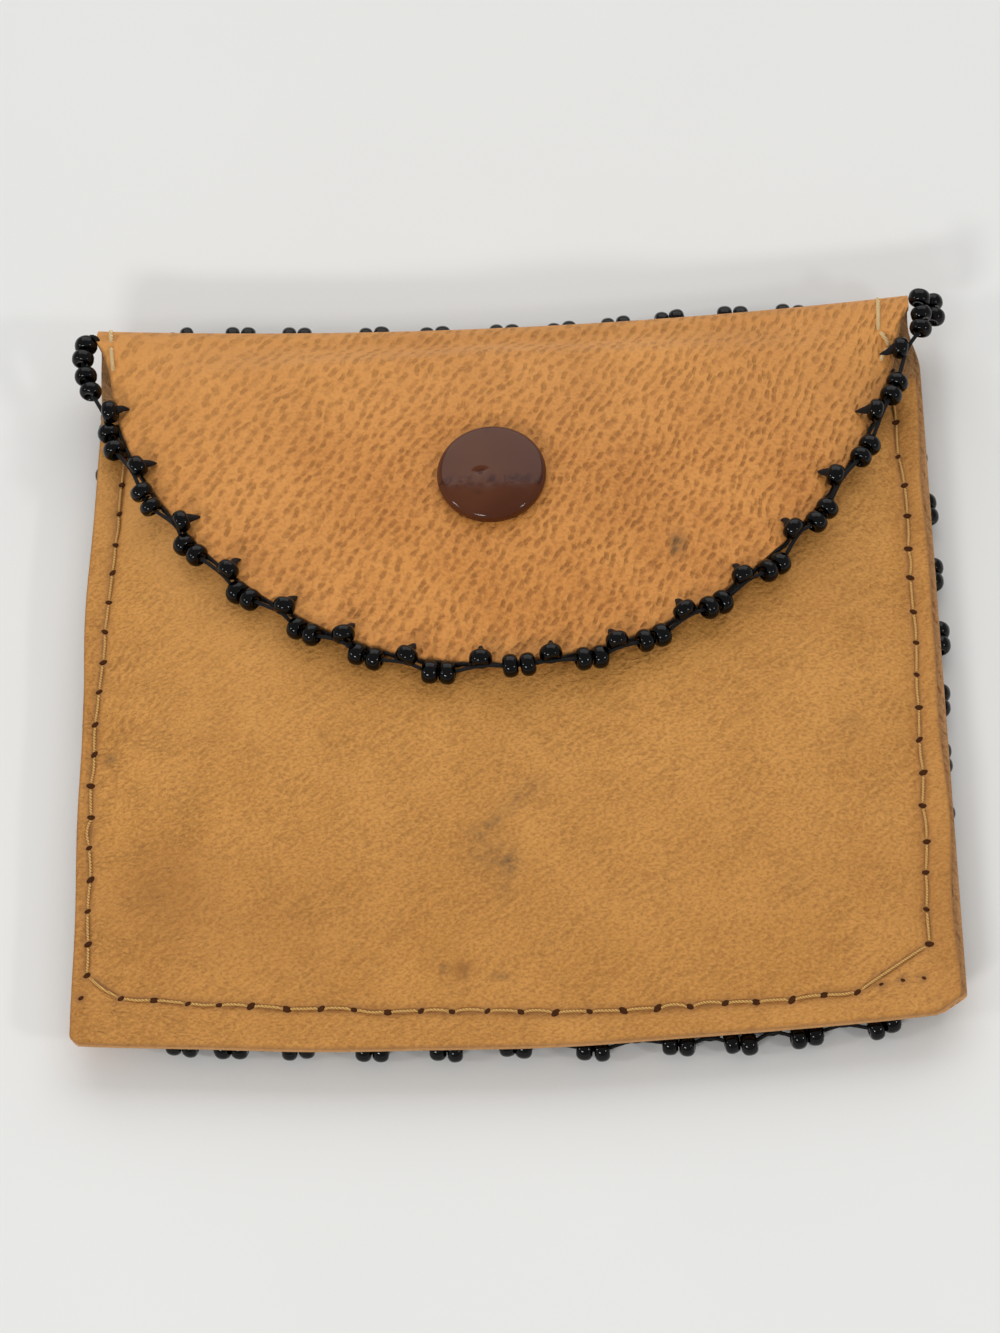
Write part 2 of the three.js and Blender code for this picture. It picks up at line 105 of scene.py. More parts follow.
ROW_BEAD_SIZE = (2.06, 1.42)
EDGE_BEAD_SIZE = (2.6, 1.72)
EDGE_BEAD = EDGE_BEAD_SIZE[0] / 2
PAIR_HALF = 0.9
THREAD = 0.23

rng = np.random.default_rng(11)


def smooth(t):
    s = np.clip(t, 0, 1)
    return s * s * (3 - 2 * s)


def lerp(a, b, t):
    return a + (b - a) * t


def ripple(x, y, wave, seed):
    """A soft uneven field of about -1..1, made of a few waves of about that length."""
    draw = np.random.default_rng(seed)
    total = 0
    for _ in range(7):
        turn = draw.uniform(0, 2 * math.pi)
        length = wave * draw.uniform(0.6, 1.7)
        phase = draw.uniform(0, 2 * math.pi)
        total = total + np.sin(
            2 * math.pi * (x * math.cos(turn) + y * math.sin(turn)) / length + phase)
    return total / 3.2


# The purse's surfaces, as the solids have them
def bottom_edge(x):
    cut = np.where(x < 0, CORNER_CUT_LEFT, CORNER_CUT_RIGHT)
    past = np.maximum(0, np.abs(x) - (BACK_HALF - cut))
    return BOTTOM_MID_Y + BOTTOM_BOW * (x / BACK_HALF) ** 2 + past * np.where(x < 0, 1, 0.6)


def fold_line(x):
    return FOLD_Y - FOLD_DIP * (1 - np.minimum(1, np.abs(x) / FOLD_HALF) ** 2)


def snap_distance(x, y):
    return np.hypot(x - SNAP[0], y - SNAP[1])


def pocket_dome(x, y):
    sides = 1 - np.minimum(1, np.abs(x) / (BACK_HALF - SEAM_MARGIN)) ** 4
    reach = MOUTH_Y - bottom_edge(x) - SEAM_MARGIN
    length = 1 - np.clip((MOUTH_Y - y) / reach, 0, 1) ** 4
    return SEAM_TOP + HOLLOW * sides * length


def pocket_top(x, y):
    flat = 1 - smooth((snap_distance(x, y) - POCKET_FLAT) / POCKET_FLAT_EDGE)
    return lerp(pocket_dome(x, y), POCKET_FLAT_Z, flat)


def flap_bottom(x, y):
    over_pocket = pocket_dome(x, y) + FLAP_CLEARANCE
    reach = fold_line(x) - MOUTH_Y - FLAP_CLEARANCE / 2
    from_fold = smooth((fold_line(x) - y) / reach)
    cover = lerp(FOLD_TOP - LEATHER, over_pocket, from_fold)
    flat = 1 - smooth((snap_distance(x, y) - FLAP_FLAT) / FLAP_FLAT_EDGE)
    return lerp(cover, FLAP_FLAT_Z, flat)


# Meshes
SHEET_EDGE_ANGLE = 48


def make_object(name, vertices, faces, material, body=None, smooth_angle=None):
    mesh = bpy.data.meshes.new(name)
    mesh.from_pydata((np.asarray(vertices) * MM).tolist(), [], [list(f) for f in faces])
    mesh.validate()
    mesh.polygons.foreach_set("use_smooth", np.ones(len(mesh.polygons), bool))
    if smooth_angle is not None:
        mesh.set_sharp_from_angle(angle=math.radians(smooth_angle))
    obj = bpy.data.objects.new(name, mesh)
    bpy.context.scene.collection.objects.link(obj)
    mesh.materials.append(material)
    if body:
        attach(obj, body)
    return obj


def dress(obj, node):
    """Hides the solid of the frame that the object stands for."""
    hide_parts(node)


def add_values(obj, name, values):
    values = np.asarray(values, np.float32)
    kind, field = ("FLOAT_VECTOR", "vector") if values.ndim == 2 else ("FLOAT", "value")
    layer = obj.data.attributes.new(name, kind, "POINT")
    layer.data.foreach_set(field, values.ravel())


def grid_faces(rows, columns, offset=0):
    r, c = np.meshgrid(np.arange(rows - 1), np.arange(columns - 1), indexing="ij")
    a = offset + r * columns + c
    return np.stack([a, a + 1, a + columns + 1, a + columns], -1).reshape(-1, 4)


def points_of(x, y, z):
    return np.stack([x, y, z], -1)


def leather_sheet(name, body, material, top, bottom, rest, **marks):
    """A closed sheet from two grids of points; rest is where each point lies on the flat
    hide, and marks are values of the grain side, such as stains, painted light and painted shade."""
    rows, columns, _ = top.shape
    count = rows * columns
    index = np.arange(count).reshape(rows, columns)
    rim = np.concatenate([
        index[0, :-1], index[:-1, -1], index[-1, :0:-1], index[:0:-1, 0]])
    after = np.roll(rim, -1)
    walls = np.stack([rim, after, after + count, rim + count], -1)
    faces = np.concatenate([
        grid_faces(rows, columns), grid_faces(rows, columns, count)[:, ::-1], walls])
    vertices = np.concatenate([top.reshape(-1, 3), bottom.reshape(-1, 3)])
    obj = make_object(name, vertices, faces, material, body)
    work = bmesh.new()
    work.from_mesh(obj.data)
    bmesh.ops.recalc_face_normals(work, faces=work.faces)
    work.to_mesh(obj.data)
    work.free()
    obj.data.set_sharp_from_angle(angle=math.radians(SHEET_EDGE_ANGLE))
    flat = rest.reshape(-1, 3)
    add_values(obj, "hide", np.concatenate([flat, flat + [0, 0, LEATHER]]))
    add_values(obj, "flesh", np.repeat([0.0, 1.0], count))
    for key, value in marks.items():
        add_values(obj, key, np.concatenate([value.ravel(), 0 * value.ravel()]))
    return obj


def uneven_steps(low, high, coarse, fine, places, reach):
    """Positions from low to high, close together near the given places."""
    steps = [low]
    while steps[-1] < high:
        near = min(abs(steps[-1] - place) for place in places)
        steps.append(steps[-1] + (fine if near < reach else coarse))
    steps = np.array(steps)
    return low + (steps - low) * (high - low) / (steps[-1] - low)


def ring_faces(rings, sides):
    """Faces between rings of points that follow each other."""
    faces = []
    for i in range(rings - 1):
        for k in range(sides):
            a, b = i * sides + k, i * sides + (k + 1) % sides
            faces.append((a, b, b + sides, a + sides))
    return faces


def tube(path, radius, sides):
    """Vertices and faces of a round tube along a list of points, closed at both ends."""
    path = np.asarray(path, float)
    radius = np.broadcast_to(radius, len(path))
    tangent = np.gradient(path, axis=0)
    tangent /= np.linalg.norm(tangent, axis=1)[:, None]
    across = np.cross(tangent, [0.03, 0.02, 1.0])
    across /= np.linalg.norm(across, axis=1)[:, None]
    over = np.cross(across, tangent)
    turn = np.linspace(0, 2 * math.pi, sides, endpoint=False)
    ring = (np.cos(turn)[None, :, None] * across[:, None, :]
            + np.sin(turn)[None, :, None] * over[:, None, :])
    vertices = (path[:, None, :] + ring * radius[:, None, None]).reshape(-1, 3)
    faces = ring_faces(len(path), sides)
    last = (len(path) - 1) * sides
    faces.append(tuple(range(sides - 1, -1, -1)))
    faces.append(tuple(range(last, last + sides)))
    return vertices, faces


def join(parts):
    vertices, faces, start = [], [], 0
    for points, cells in parts:
        vertices.append(np.asarray(points))
        faces.extend(tuple(start + i for i in cell) for cell in cells)
        start += len(points)
    return np.concatenate(vertices), faces


def lathe(points, sides=72):
    """A turned piece about the snap's axis from [radius, z] points."""
    turn = np.linspace(0, 2 * math.pi, sides, endpoint=False)
    rings, vertices = [], []
    for radius, z in points:
        start = len(vertices)
        if radius < 1e-6:
            rings.append([start] * sides)
            vertices.append((*SNAP, z))
            continue
        rings.append(range(start, start + sides))
        vertices.extend(
            (SNAP[0] + radius * math.cos(a), SNAP[1] + radius * math.sin(a), z) for a in turn)
    faces = []
    for lower, upper in zip(rings, rings[1:]):
        for k in range(sides):
            after = (k + 1) % sides
            cell = tuple(dict.fromkeys((lower[k], lower[after], upper[after], upper[k])))
            if len(cell) > 2:
                faces.append(cell)
    return vertices, faces


# Materials
ROW_BEND = 0.0034
WANDER = (2.6, 2.6, 2.6)
PLY_SCALE = 5200 / 3


class Shader:
    """A Principled material and short calls for its nodes."""

    def __init__(self, name, roughness=0.5, **sockets):
        self.material = bpy.data.materials.new(name)
        self.material.use_nodes = True
        self.nodes = self.material.node_tree.nodes
        self.links = self.material.node_tree.links
        self.main = self.nodes["Principled BSDF"]
        self.main.inputs["Roughness"].default_value = roughness
        for key, value in sockets.items():
            self.main.inputs[key.replace("_", " ")].default_value = value

    def add(self, kind, settings=None, **inputs):
        node = self.nodes.new("ShaderNode" + kind)
        for key, value in (settings or {}).items():
            setattr(node, key, value)
        for key, value in inputs.items():
            self.feed(value, node.inputs[key.replace("_", " ")])
        return node

    def combine(self, kind, settings, *values):
        """A node whose inputs are given in their order."""
        node = self.add(kind, settings)
        for value, socket in zip(values, node.inputs):
            self.feed(value, socket)
        return node

    def feed(self, value, socket):
        if isinstance(value, bpy.types.NodeSocket):
            self.links.new(value, socket)
        elif isinstance(value, tuple) and len(value) == 3 and socket.type == "RGBA":
            socket.default_value = (*value, 1)
        else:
            socket.default_value = value

    def attribute(self, name, output="Fac"):
        return self.add("Attribute", {"attribute_name": name}).outputs[output]

    def math(self, operation, a, b, clamp=False):
        settings = {"operation": operation, "use_clamp": clamp}
        return self.combine("Math", settings, a, b).outputs[0]

    def times(self, a, b):
        return self.math("MULTIPLY", a, b)

    def place(self):
        return self.add("TexCoord").outputs["Object"]

    def ramp(self, value, low, high, first=0.0, last=1.0):
        settings = {"interpolation_type": "SMOOTHSTEP"}
        node = self.add(
            "MapRange", settings, Value=value,
            From_Min=low, From_Max=high, To_Min=first, To_Max=last)
        return node.outputs[0]

    def mix(self, share, a, b):
        node = self.add("Mix", {"data_type": "RGBA"})
        self.feed(share, node.inputs[0])
        self.feed(a, node.inputs[6])
        self.feed(b, node.inputs[7])
        return node.outputs[2]

    def noise(self, vector, scale, detail=2.0, roughness=0.5, output=0):
        node = self.add(
            "TexNoise", Vector=vector, Scale=scale, Detail=detail, Roughness=roughness)
        return node.outputs[output]

    def vector_math(self, operation, *values):
        return self.combine("VectorMath", {"operation": operation}, *values)

    def stretch(self, vector, scale, turn=0.0):
        node = self.add("Mapping", Vector=vector)
        node.inputs["Scale"].default_value = scale
        node.inputs["Rotation"].default_value = (0, 0, turn)
        return node.outputs[0]

    def slope_more(self, vector):
        """Bends the hide so that its rows of grain stand steeper towards the right."""
        x = self.add("SeparateXYZ", Vector=vector).outputs[0]
        bend = self.times(self.times(x, x), ROW_BEND)
        move = self.add("CombineXYZ", X=self.times(bend, 0.8), Y=self.times(bend, -0.6))
        return self.vector_math("ADD", vector, move.outputs[0]).outputs[0]

    def dashes(self, vector, scale, turn, shape, randomness, fine):
        """Soft short dashes in slanting rows, as 0..1."""
        flat = {"voronoi_dimensions": "2D", "feature": "F1"}
        rows = self.stretch(vector, (*scale, 1.0), math.radians(turn))
        cells = self.add("TexVoronoi", flat, Vector=rows, Scale=1.0,
                         Randomness=randomness)
        offset = self.vector_math("SUBTRACT", rows, cells.outputs["Position"])
        scaled = self.vector_math("MULTIPLY", offset.outputs[0], (*shape, 0))
        length = self.vector_math("LENGTH", scaled.outputs[0])
        uneven = self.times(self.math("SUBTRACT", fine, 0.5), 0.45)
        reach = self.math("ADD", length.outputs["Value"], uneven)
        return self.ramp(reach, 0.0, 0.60, 1.0, 0.0)

    def bump(self, height, distance):
        node = self.add("Bump", Height=height, Distance=distance, Strength=1.0)
        self.links.new(node.outputs[0], self.main.inputs["Normal"])

    def colour(self, value):
        self.feed(value, self.main.inputs["Base Color"])

    def roughen(self, value):
        self.feed(value, self.main.inputs["Roughness"])


def rgb(red, green, blue):
    """A colour written as 0..255 screen values, as the shader's linear values."""
    def linear(value):
        s = value / 255
        return s / 12.92 if s <= 0.04045 else ((s + 0.055) / 1.055) ** 2.4
    return linear(red), linear(green), linear(blue)


TAN = rgb(221, 145, 67)
TAN_DEEP = rgb(152, 90, 38)
TAN_PALE = rgb(232, 168, 94)
POCKET_TAN = rgb(206, 144, 65)
POCKET_DEEP = rgb(160, 103, 42)
SUEDE = rgb(206, 160, 110)
SOIL_AND_SHADE_COLOUR = rgb(108, 82, 50)
EDGE_AND_SEAM_SHADE_COLOUR = rgb(150, 104, 60)


def leather_material(name, base, deep, pale, pebbled):
    s = Shader(name, roughness=0.62, Specular_IOR_Level=0.32)
    hide = s.attribute("hide", "Vector")
    drift = s.noise(hide, 0.16, output="Color")
    bent = s.vector_math("MULTIPLY_ADD", drift, WANDER, hide).outputs[0]
    slant = s.stretch(hide, (1.0, 1.5, 1.0), math.radians(-48))
    fine = s.noise(hide if pebbled else slant, 2.2, 4.0, 0.62)
    grit = s.noise(hide, 4.5, 3.0, 0.6)
    mottle = s.noise(hide, 0.085, 4.0, 0.6)
    cloud = s.noise(hide, 0.03, 2.0, 0.5)
    if pebbled:
        pits = s.dashes(s.slope_more(bent), (0.80, 0.72), -57, (0.86, 1.9), 0.62, fine)
        presence = s.ramp(s.noise(hide, 0.5), 0.32, 0.60, 0.45, 1.0)
        pits = s.times(pits, presence)
        height = s.math("SUBTRACT", s.times(fine, 0.35), pits)
        depth = 0.22 * MM
        shade = s.times(pits, 0.60)
        glow = s.ramp(grit, 0.46, 0.68, 0.0, 0.12)
    else:
        pits = s.dashes(bent, (1.05, 0.88), -30, (0.7, 1.5), 0.8, fine)
        pits = s.times(pits, s.ramp(s.noise(hide, 0.22, 3.0), 0.36, 0.64, 0.25, 1.0))
        old_pits = s.dashes(bent, (0.9, 0.8), -66, (1.0, 1.6), 0.9, grit)
        old_pits = s.times(old_pits, s.attribute("pitted"))
        net = {"voronoi_dimensions": "2D", "feature": "DISTANCE_TO_EDGE"}
        cracks = s.add("TexVoronoi", net, Scale=1.0, Randomness=0.9,
                       Vector=s.stretch(bent, (0.75, 1.5, 1.0), math.radians(-24)))
        creases = s.ramp(cracks.outputs["Distance"], 0.0, 0.2, 1.0, 0.0)
        creases = s.times(creases, s.ramp(s.noise(hide, 0.3), 0.40, 0.66))
        folds = s.times(creases, s.attribute("crease"))
        height = s.math("SUBTRACT", s.times(fine, 0.6), s.times(folds, 0.9))
        height = s.math("ADD", height, s.times(grit, 0.25))
        height = s.math("SUBTRACT", height, s.times(pits, 0.55))
        height = s.math("SUBTRACT", height, old_pits)
        depth = 0.16 * MM
        shade = s.math("MAXIMUM", s.times(pits, 0.34), s.times(folds, 0.34))
        shade = s.math("MAXIMUM", shade, old_pits)
        # Painted highlight: paler where the grit stands raised in the bump
        glow = s.ramp(grit, 0.42, 0.66, 0.0, 0.22)
    tint = s.mix(s.ramp(mottle, 0.34, 0.68), deep, pale)
    colour = s.mix(0.24, base, tint)
    colour = s.mix(s.ramp(cloud, 0.4, 0.7, 0.0, 0.12), colour, pale)
    colour = s.mix(s.ramp(fine, 0.46, 0.66, 0.0, 0.32 if pebbled else 0.50), colour, pale)
    colour = s.mix(s.ramp(fine, 0.52, 0.34, 0.0, 0.36 if pebbled else 0.58), colour, deep)
    colour = s.mix(glow, colour, pale)
    colour = s.mix(shade, colour, deep)
    # Painted light where this value is above 0 (paler) and painted shade where it is below
    # (deeper); one small dark spot on the pocket is a stain
    faded = s.attribute("faded")
    colour = s.mix(s.math("MAXIMUM", faded, 0.0), colour, pale)
    colour = s.mix(s.math("MAXIMUM", s.times(faded, -1.0), 0.0), colour, deep)
    patchy = s.ramp(s.noise(hide, 1.1, 3.0, 0.6), 0.32, 0.62, 0.35, 1.2)
    # Stains, and on the flap painted shade down its right side, darken towards this colour
    stain_and_shade = s.times(s.attribute("soil"), patchy)
    colour = s.mix(s.math("MULTIPLY", stain_and_shade, 1.0, clamp=True), colour, SOIL_AND_SHADE_COLOUR)
    # Darker at the cut edges, and painted shade along the pocket's seam and round its holes
    colour = s.mix(s.attribute("worn"), colour, EDGE_AND_SEAM_SHADE_COLOUR)
    nap = s.noise(hide, 5.0, 5.0, 0.7)
    suede = s.mix(s.ramp(nap, 0.35, 0.65, 0.0, 0.5), SUEDE, TAN_DEEP)
    flesh = s.attribute("flesh")
    colour = s.mix(flesh, colour, suede)
    s.colour(colour)
    s.roughen(s.math("ADD", s.ramp(fine, 0.3, 0.7, 0.52, 0.72), s.times(flesh, 0.25)))
    s.bump(s.math("ADD", height, s.times(flesh, s.times(nap, 0.8))), depth)
    return s.material


def bead_material():
    s = Shader("black_bead", roughness=0.04, Specular_IOR_Level=0.22)
    uneven = s.noise(s.place(), 420.0)
    s.colour(s.mix(s.ramp(uneven, 0.35, 0.7), rgb(1, 1, 1), rgb(5, 5, 7)))
    s.roughen(s.ramp(uneven, 0.3, 0.7, 0.02, 0.08))
    s.bump(uneven, 0.02 * MM)
    return s.material


def thread_material(name, colour, ply_groove_shade):
    s = Shader(name, roughness=0.78, Specular_IOR_Level=0.3)
    ply = s.add(
        "TexWave", {"wave_type": "BANDS", "bands_direction": "DIAGONAL"},
        Vector=s.place(), Scale=PLY_SCALE, Distortion=1.5, Detail=1.0)
    # Painted shade in the grooves between the plies, where the bump is low
    s.colour(s.mix(s.ramp(ply.outputs[1], 0.2, 0.8), ply_groove_shade, colour))
    s.bump(ply.outputs[1], 0.05 * MM)
    return s.material


def cap_material():
    s = Shader("cap_enamel", roughness=0.1, Specular_IOR_Level=0.22, Coat_Weight=0.05,
               Coat_Roughness=0.06)
    place = s.place()
    wear = s.noise(place, 260.0, 4.0, 0.6)
    cloud = s.noise(place, 90.0)
    colour = s.mix(s.ramp(cloud, 0.35, 0.7), rgb(77, 37, 19), rgb(91, 49, 27))
    colour = s.mix(s.ramp(wear, 0.60, 0.74, 0.0, 0.35), colour, rgb(46, 22, 14))
    # Painted reflection: a speckled dark band where a reflected light ends, and painted shade in
    # the dent
    speckle = s.ramp(s.noise(place, 800.0, 4.0, 0.7), 0.42, 0.62)
    reflection_edge_and_dent_shade = s.math("MULTIPLY", speckle, s.attribute("reflection_edge_and_dent_shade"), clamp=True)
    s.colour(s.mix(reflection_edge_and_dent_shade, colour, rgb(58, 18, 8)))
    s.roughen(s.ramp(wear, 0.35, 0.7, 0.07, 0.16))
    s.bump(s.noise(place, 700.0, 3.0), 0.02 * MM)
    return s.material


def metal_material():
    s = Shader("snap_metal", roughness=0.32, Metallic=1.0)
    wear = s.noise(s.place(), 500.0, 4.0, 0.6)
    s.colour(s.mix(s.ramp(wear, 0.4, 0.7), rgb(196, 192, 182), rgb(150, 143, 130)))
    s.roughen(s.ramp(wear, 0.3, 0.7, 0.24, 0.46))
    s.bump(wear, 0.02 * MM)
    return s.material


def felt_material():
    s = Shader("backing_felt", roughness=0.95, Specular_IOR_Level=0.2)
    nap = s.noise(s.place(), 1800.0, 5.0, 0.7)
    s.colour(s.mix(nap, rgb(20, 19, 19), rgb(44, 41, 40)))
    s.bump(nap, 0.15 * MM)
    return s.material


# Painted shade: the dark brown of the needle holes' depth
def hole_shade_material():
    s = Shader("needle_hole_shade", roughness=0.9, Specular_IOR_Level=0.1)
    uneven = s.noise(s.place(), 2500.0, 3.0)
    s.colour(s.mix(uneven, rgb(52, 26, 12), rgb(84, 48, 24)))
    s.bump(uneven, 0.05 * MM)
    return s.material


GRAIN = leather_material("grain_leather", TAN, TAN_DEEP, TAN_PALE, True)
POCKET = leather_material("pocket_leather", POCKET_TAN, POCKET_DEEP, TAN_PALE, False)
BEAD = bead_material()
BLACK_THREAD = thread_material("black_thread", rgb(24, 23, 25), rgb(9, 9, 10))
SEAM_THREAD = thread_material("seam_thread", rgb(232, 190, 116), rgb(182, 132, 66))
CREAM_THREAD = thread_material("cream_thread", rgb(240, 214, 164), rgb(206, 170, 112))
CAP_ENAMEL = cap_material()
METAL = metal_material()
FELT = felt_material()
HOLE_SHADE = hole_shade_material()

# Seam of the pocket on the left, bottom and right: (stitch length, corner points of the run)
SEAMS = [
    (3.8, [(-43.2, 33.5), (-43.4, 26.2), (-44.4, 14.2), (-45.1, 1.2), (-45.6, -6.8),
           (-45.6, -35.8)]),
    (3.55, [(-41.8, -38.5), (-38.0, -39.1), (-30.6, -39.9), (-22.7, -40.8), (-7.4, -41.7),
            (6.5, -42.2), (16.7, -42.2), (26.6, -41.9), (36.1, -41.2)]),
    (4.1, [(43.7, -35.6), (44.2, -20.0), (44.7, 1.2), (44.6, 17.2), (44.1, 29.2),
           (43.9, 33.5)])]
SEAM_THREAD_RADIUS, FOLD_THREAD_RADIUS = 0.14, 0.24
SEAM_LEFT, SEAM_RIGHT, SEAM_BOTTOM = -45.2, 44.4, -40.6
SPARE_HOLES = [(-46.1, -38.3), (38.5, -40.3), (40.8, -39.9), (43.0, -39.7)]


def along(points, pitch):
    """Evenly spaced places along a line of corner points."""
    points = np.array(points, float)
    lengths = np.hypot(*np.diff(points, axis=0).T)
    distance = np.concatenate([[0], np.cumsum(lengths)])
    count = max(1, round(distance[-1] / pitch))
    at = np.linspace(0, distance[-1], count + 1)
    return np.stack([np.interp(at, distance, points[:, i]) for i in range(2)], -1)


def needle_holes():
    holes = np.concatenate([along(points, pitch) for pitch, points in SEAMS])
    shift = rng.normal(0, 0.12, holes.shape)
    shift[[0, -1]] = 0
    return holes + shift


HOLES = needle_holes()


def left_inset(x, y):
    """The left edge leans in towards the fold."""
    lean = 1.1 * smooth((y - 2) / 38) + 1.4 * np.exp(-((y - 38.8) / 3.4) ** 2)
    return lean * smooth((-x - 36) / 11)


def seam_lines(x, y):
    """Distance to the nearest stitch and to the nearest hole."""
    line, hole = np.full(x.shape, 9.0), np.full(x.shape, 9.0)
    for (ax, ay), (bx, by) in zip(HOLES, HOLES[1:]):
        dx, dy = bx - ax, by - ay
        t = np.clip(((x - ax) * dx + (y - ay) * dy) / (dx * dx + dy * dy), 0, 1)
        line = np.minimum(line, np.hypot(x - ax - t * dx, y - ay - t * dy))
    for hx, hy in [*HOLES, *SPARE_HOLES]:
        hole = np.minimum(hole, np.hypot(x - hx, y - hy))
    return line, hole


# (depth, half width) of the dents in the leather
THREAD_DENT, HOLE_DENT = (0.26, 0.8), (0.36, 0.7)


def seam_pull(x, y):
    """How far the thread draws the leather down, along the seam and at its holes."""
    dents = zip(seam_lines(x, y), (THREAD_DENT, HOLE_DENT))
    return np.maximum(*(depth * np.exp(-(away / width) ** 2) for away, (depth, width) in dents))


def spot(x, y, cx, cy, rx, ry, turn=0.0):
    c, s = math.cos(turn), math.sin(turn)
    u = ((x - cx) * c + (y - cy) * s) / rx
    v = (-(x - cx) * s + (y - cy) * c) / ry
    return np.exp(-(u * u + v * v))


def spots(x, y, table):
    """The sum of (amount, x, y, x radius, y radius, turn) spots."""
    return sum(amount * spot(x, y, *place) for amount, *place in table)


# Marks of the pocket: (amount, x, y, x radius, y radius, turn)
POCKET_SOIL = [
    (0.26, 2.0, -17.7, 2.0, 1.0, 0.6), (0.2, -0.8, -20.2, 3.6, 1.1, 0.7),
    (0.42, -1.9, -21.3, 1.0, 0.45, 0.6), (0.3, -3.6, -22.4, 1.3, 0.8),
    (0.34, -2.2, -25.1, 2.4, 1.7), (0.62, -0.2, -26.2, 0.9, 1.3, -0.2),
    (0.2, -0.8, -29.0, 1.3, 1.0), (0.9, -7.3, -37.2, 0.42, 0.42), (0.25, -5.2, -37.6, 0.7, 0.7),
    (0.6, -1.3, -38.3, 0.7, 0.4), (0.8, -43.8, -9.9, 0.5, 0.65), (0.22, 37.1, -10.2, 1.2, 1.2),
    (0.12, 30.2, -29.4, 1.6, 1.2), (0.25, -20, -10, 0.6, 0.5)]
POCKET_PITTED = [
    [(0.75, -43.0, 1.5, 2.6, 3.4), (0.8, -42.6, -6.4, 2.6, 3.0)],
    [(0.4, -46.2, 0, 1.0, 9)], [(0.3, 37, -22, 7, 9)]]
# Painted light where the amount is above 0 (paler, at the upper left) and painted shade where it
# is below (deeper, at the left, the bottom and the right); the small deep spot at the bottom
# middle is a stain
POCKET_LIGHT_SHADE_AND_STAIN = [
    (0.8, -35, 25, 12, 12), (0.16, -28, 4, 14, 16), (-0.42, -37.5, -27, 6, 6),
    (-0.22, -41, 12, 3.5, 7), (-0.14, -25, -33, 9, 6), (-0.12, 34, 6, 9, 5),
    (-0.7, -5.5, -37.4, 0.9, 0.9)]
# Flap: a darker band along the fold, and painted shade down the right side below the fold
FLAP_SOIL_AND_SHADE = [(0.12, 0, 44, 60, 2.5), (0.16, 43, 26, 3, 9)]
FLAP_INK = [(0.8, 18.7, 10.6, 0.5, 1.5), (0.7, 19.6, 10.9, 0.5, 1.4)]

# Painted light: the flap and the fold strip grow paler towards the fold
FOLD_PAINTED_LIGHT = 0.34

# The pocket ends short of the back on the right, where a dark gap shows
POCKET_INSET = 0.35
BACK_OUTSET = 0.35
EDGE_WEAR, EDGE_WIDTH = 0.22, 0.35
BOTTOM_LIFT = 1.05


def rim_round(distance):
    """How far a cut edge's top corner is worn down, by distance from the edge."""
    return EDGE_WEAR * np.clip(1 - distance / EDGE_WIDTH, 0, 1) ** 2


def front_pocket():
    fine_x = [SEAM_LEFT, SEAM_RIGHT, -BACK_HALF, BACK_HALF]
    columns = uneven_steps(-BACK_HALF, BACK_HALF, 0.62, 0.3, fine_x, 1.6)
    fine_y = [SEAM_BOTTOM, BOTTOM_MID_Y, MOUTH_Y]
    rows = uneven_steps(BOTTOM_MID_Y, MOUTH_Y, 0.62, 0.34, fine_y, 2.2)
    share = (rows - BOTTOM_MID_Y) / (MOUTH_Y - BOTTOM_MID_Y)
    gx, gt = np.meshgrid(columns, share)
    low = bottom_edge(gx)
    gy = low + gt * (MOUTH_Y - low)
    x = gx + left_inset(gx, gy) + 0.18 * ripple(gy, gx, 23, 3) * smooth((np.abs(gx) - 40) / 7)
    x = x - POCKET_INSET * smooth((gx - 38) / 9)
    y = gy + (0.5 + 0.12 * ripple(gx, gy, 19, 4)) * smooth((0.1 - gt) / 0.1)
    z = pocket_top(gx, gy)
    fade = smooth((snap_distance(gx, gy) - 6) / 6)
    inside = smooth((BACK_HALF - 4 - np.abs(gx)) / 8) * smooth((gy - low - 6) / 8)
    z = z + fade * inside * 0.14 * ripple(gx, gy, 26, 5)
    z = z - seam_pull(x, y)
    edge = np.minimum.reduce([BACK_HALF - np.abs(gx), gy - low, MOUTH_Y - gy])
    top = points_of(x, y, z - rim_round(edge))
    bottom = points_of(x, y, z - LEATHER)
    soil = spots(gx, gy, POCKET_SOIL)
    crease = np.maximum.reduce([
        0.8 * smooth((-gx - 22) / 20) * smooth((20 - gy) / 30),
        0.25 * smooth((-gy - 14) / 25), 0.25 * smooth((gx - 34) / 10)])
    pitted = np.maximum.reduce([spots(gx, gy, table) for table in POCKET_PITTED])
    # Painted shade: darker along the right margin, along the left edge and towards the bottom
    faded = spots(gx, gy, POCKET_LIGHT_SHADE_AND_STAIN) - 0.2 * smooth((gx - 42) / 4)
    faded = faded - 0.12 * smooth((-gx - 44.5) / 1.5) - 0.12 * smooth((-gy - 12) / 20)
    line, hole = seam_lines(x, y)
    # Darker at the cut edges; painted shade along the seam thread and round its holes
    worn = np.maximum.reduce([
        0.7 * np.clip(1 - edge / 0.3, 0, 1), 0.75 * np.exp(-(line / 0.42) ** 2),
        0.8 * np.exp(-(hole / 0.6) ** 2)])
    rest = points_of(gx, gy, 0 * gx)
    obj = leather_sheet(
        "pocket_leather", PURSE, POCKET, top, bottom, rest, soil=np.clip(soil, 0, 1),
        crease=crease, worn=worn, faded=faded, pitted=pitted)
    dress(obj, "front_pocket")


def roll(x, turn, depth):
    radius = FOLD_RADIUS - depth
    return points_of(x, fold_line(x) + radius * np.sin(turn), FOLD_Z - radius * np.cos(turn))


ROLL_ROWS = 16
FLAP_COLUMNS = uneven_steps(-1, 1, 0.0115, 0.005, [-1, 1], 0.02)


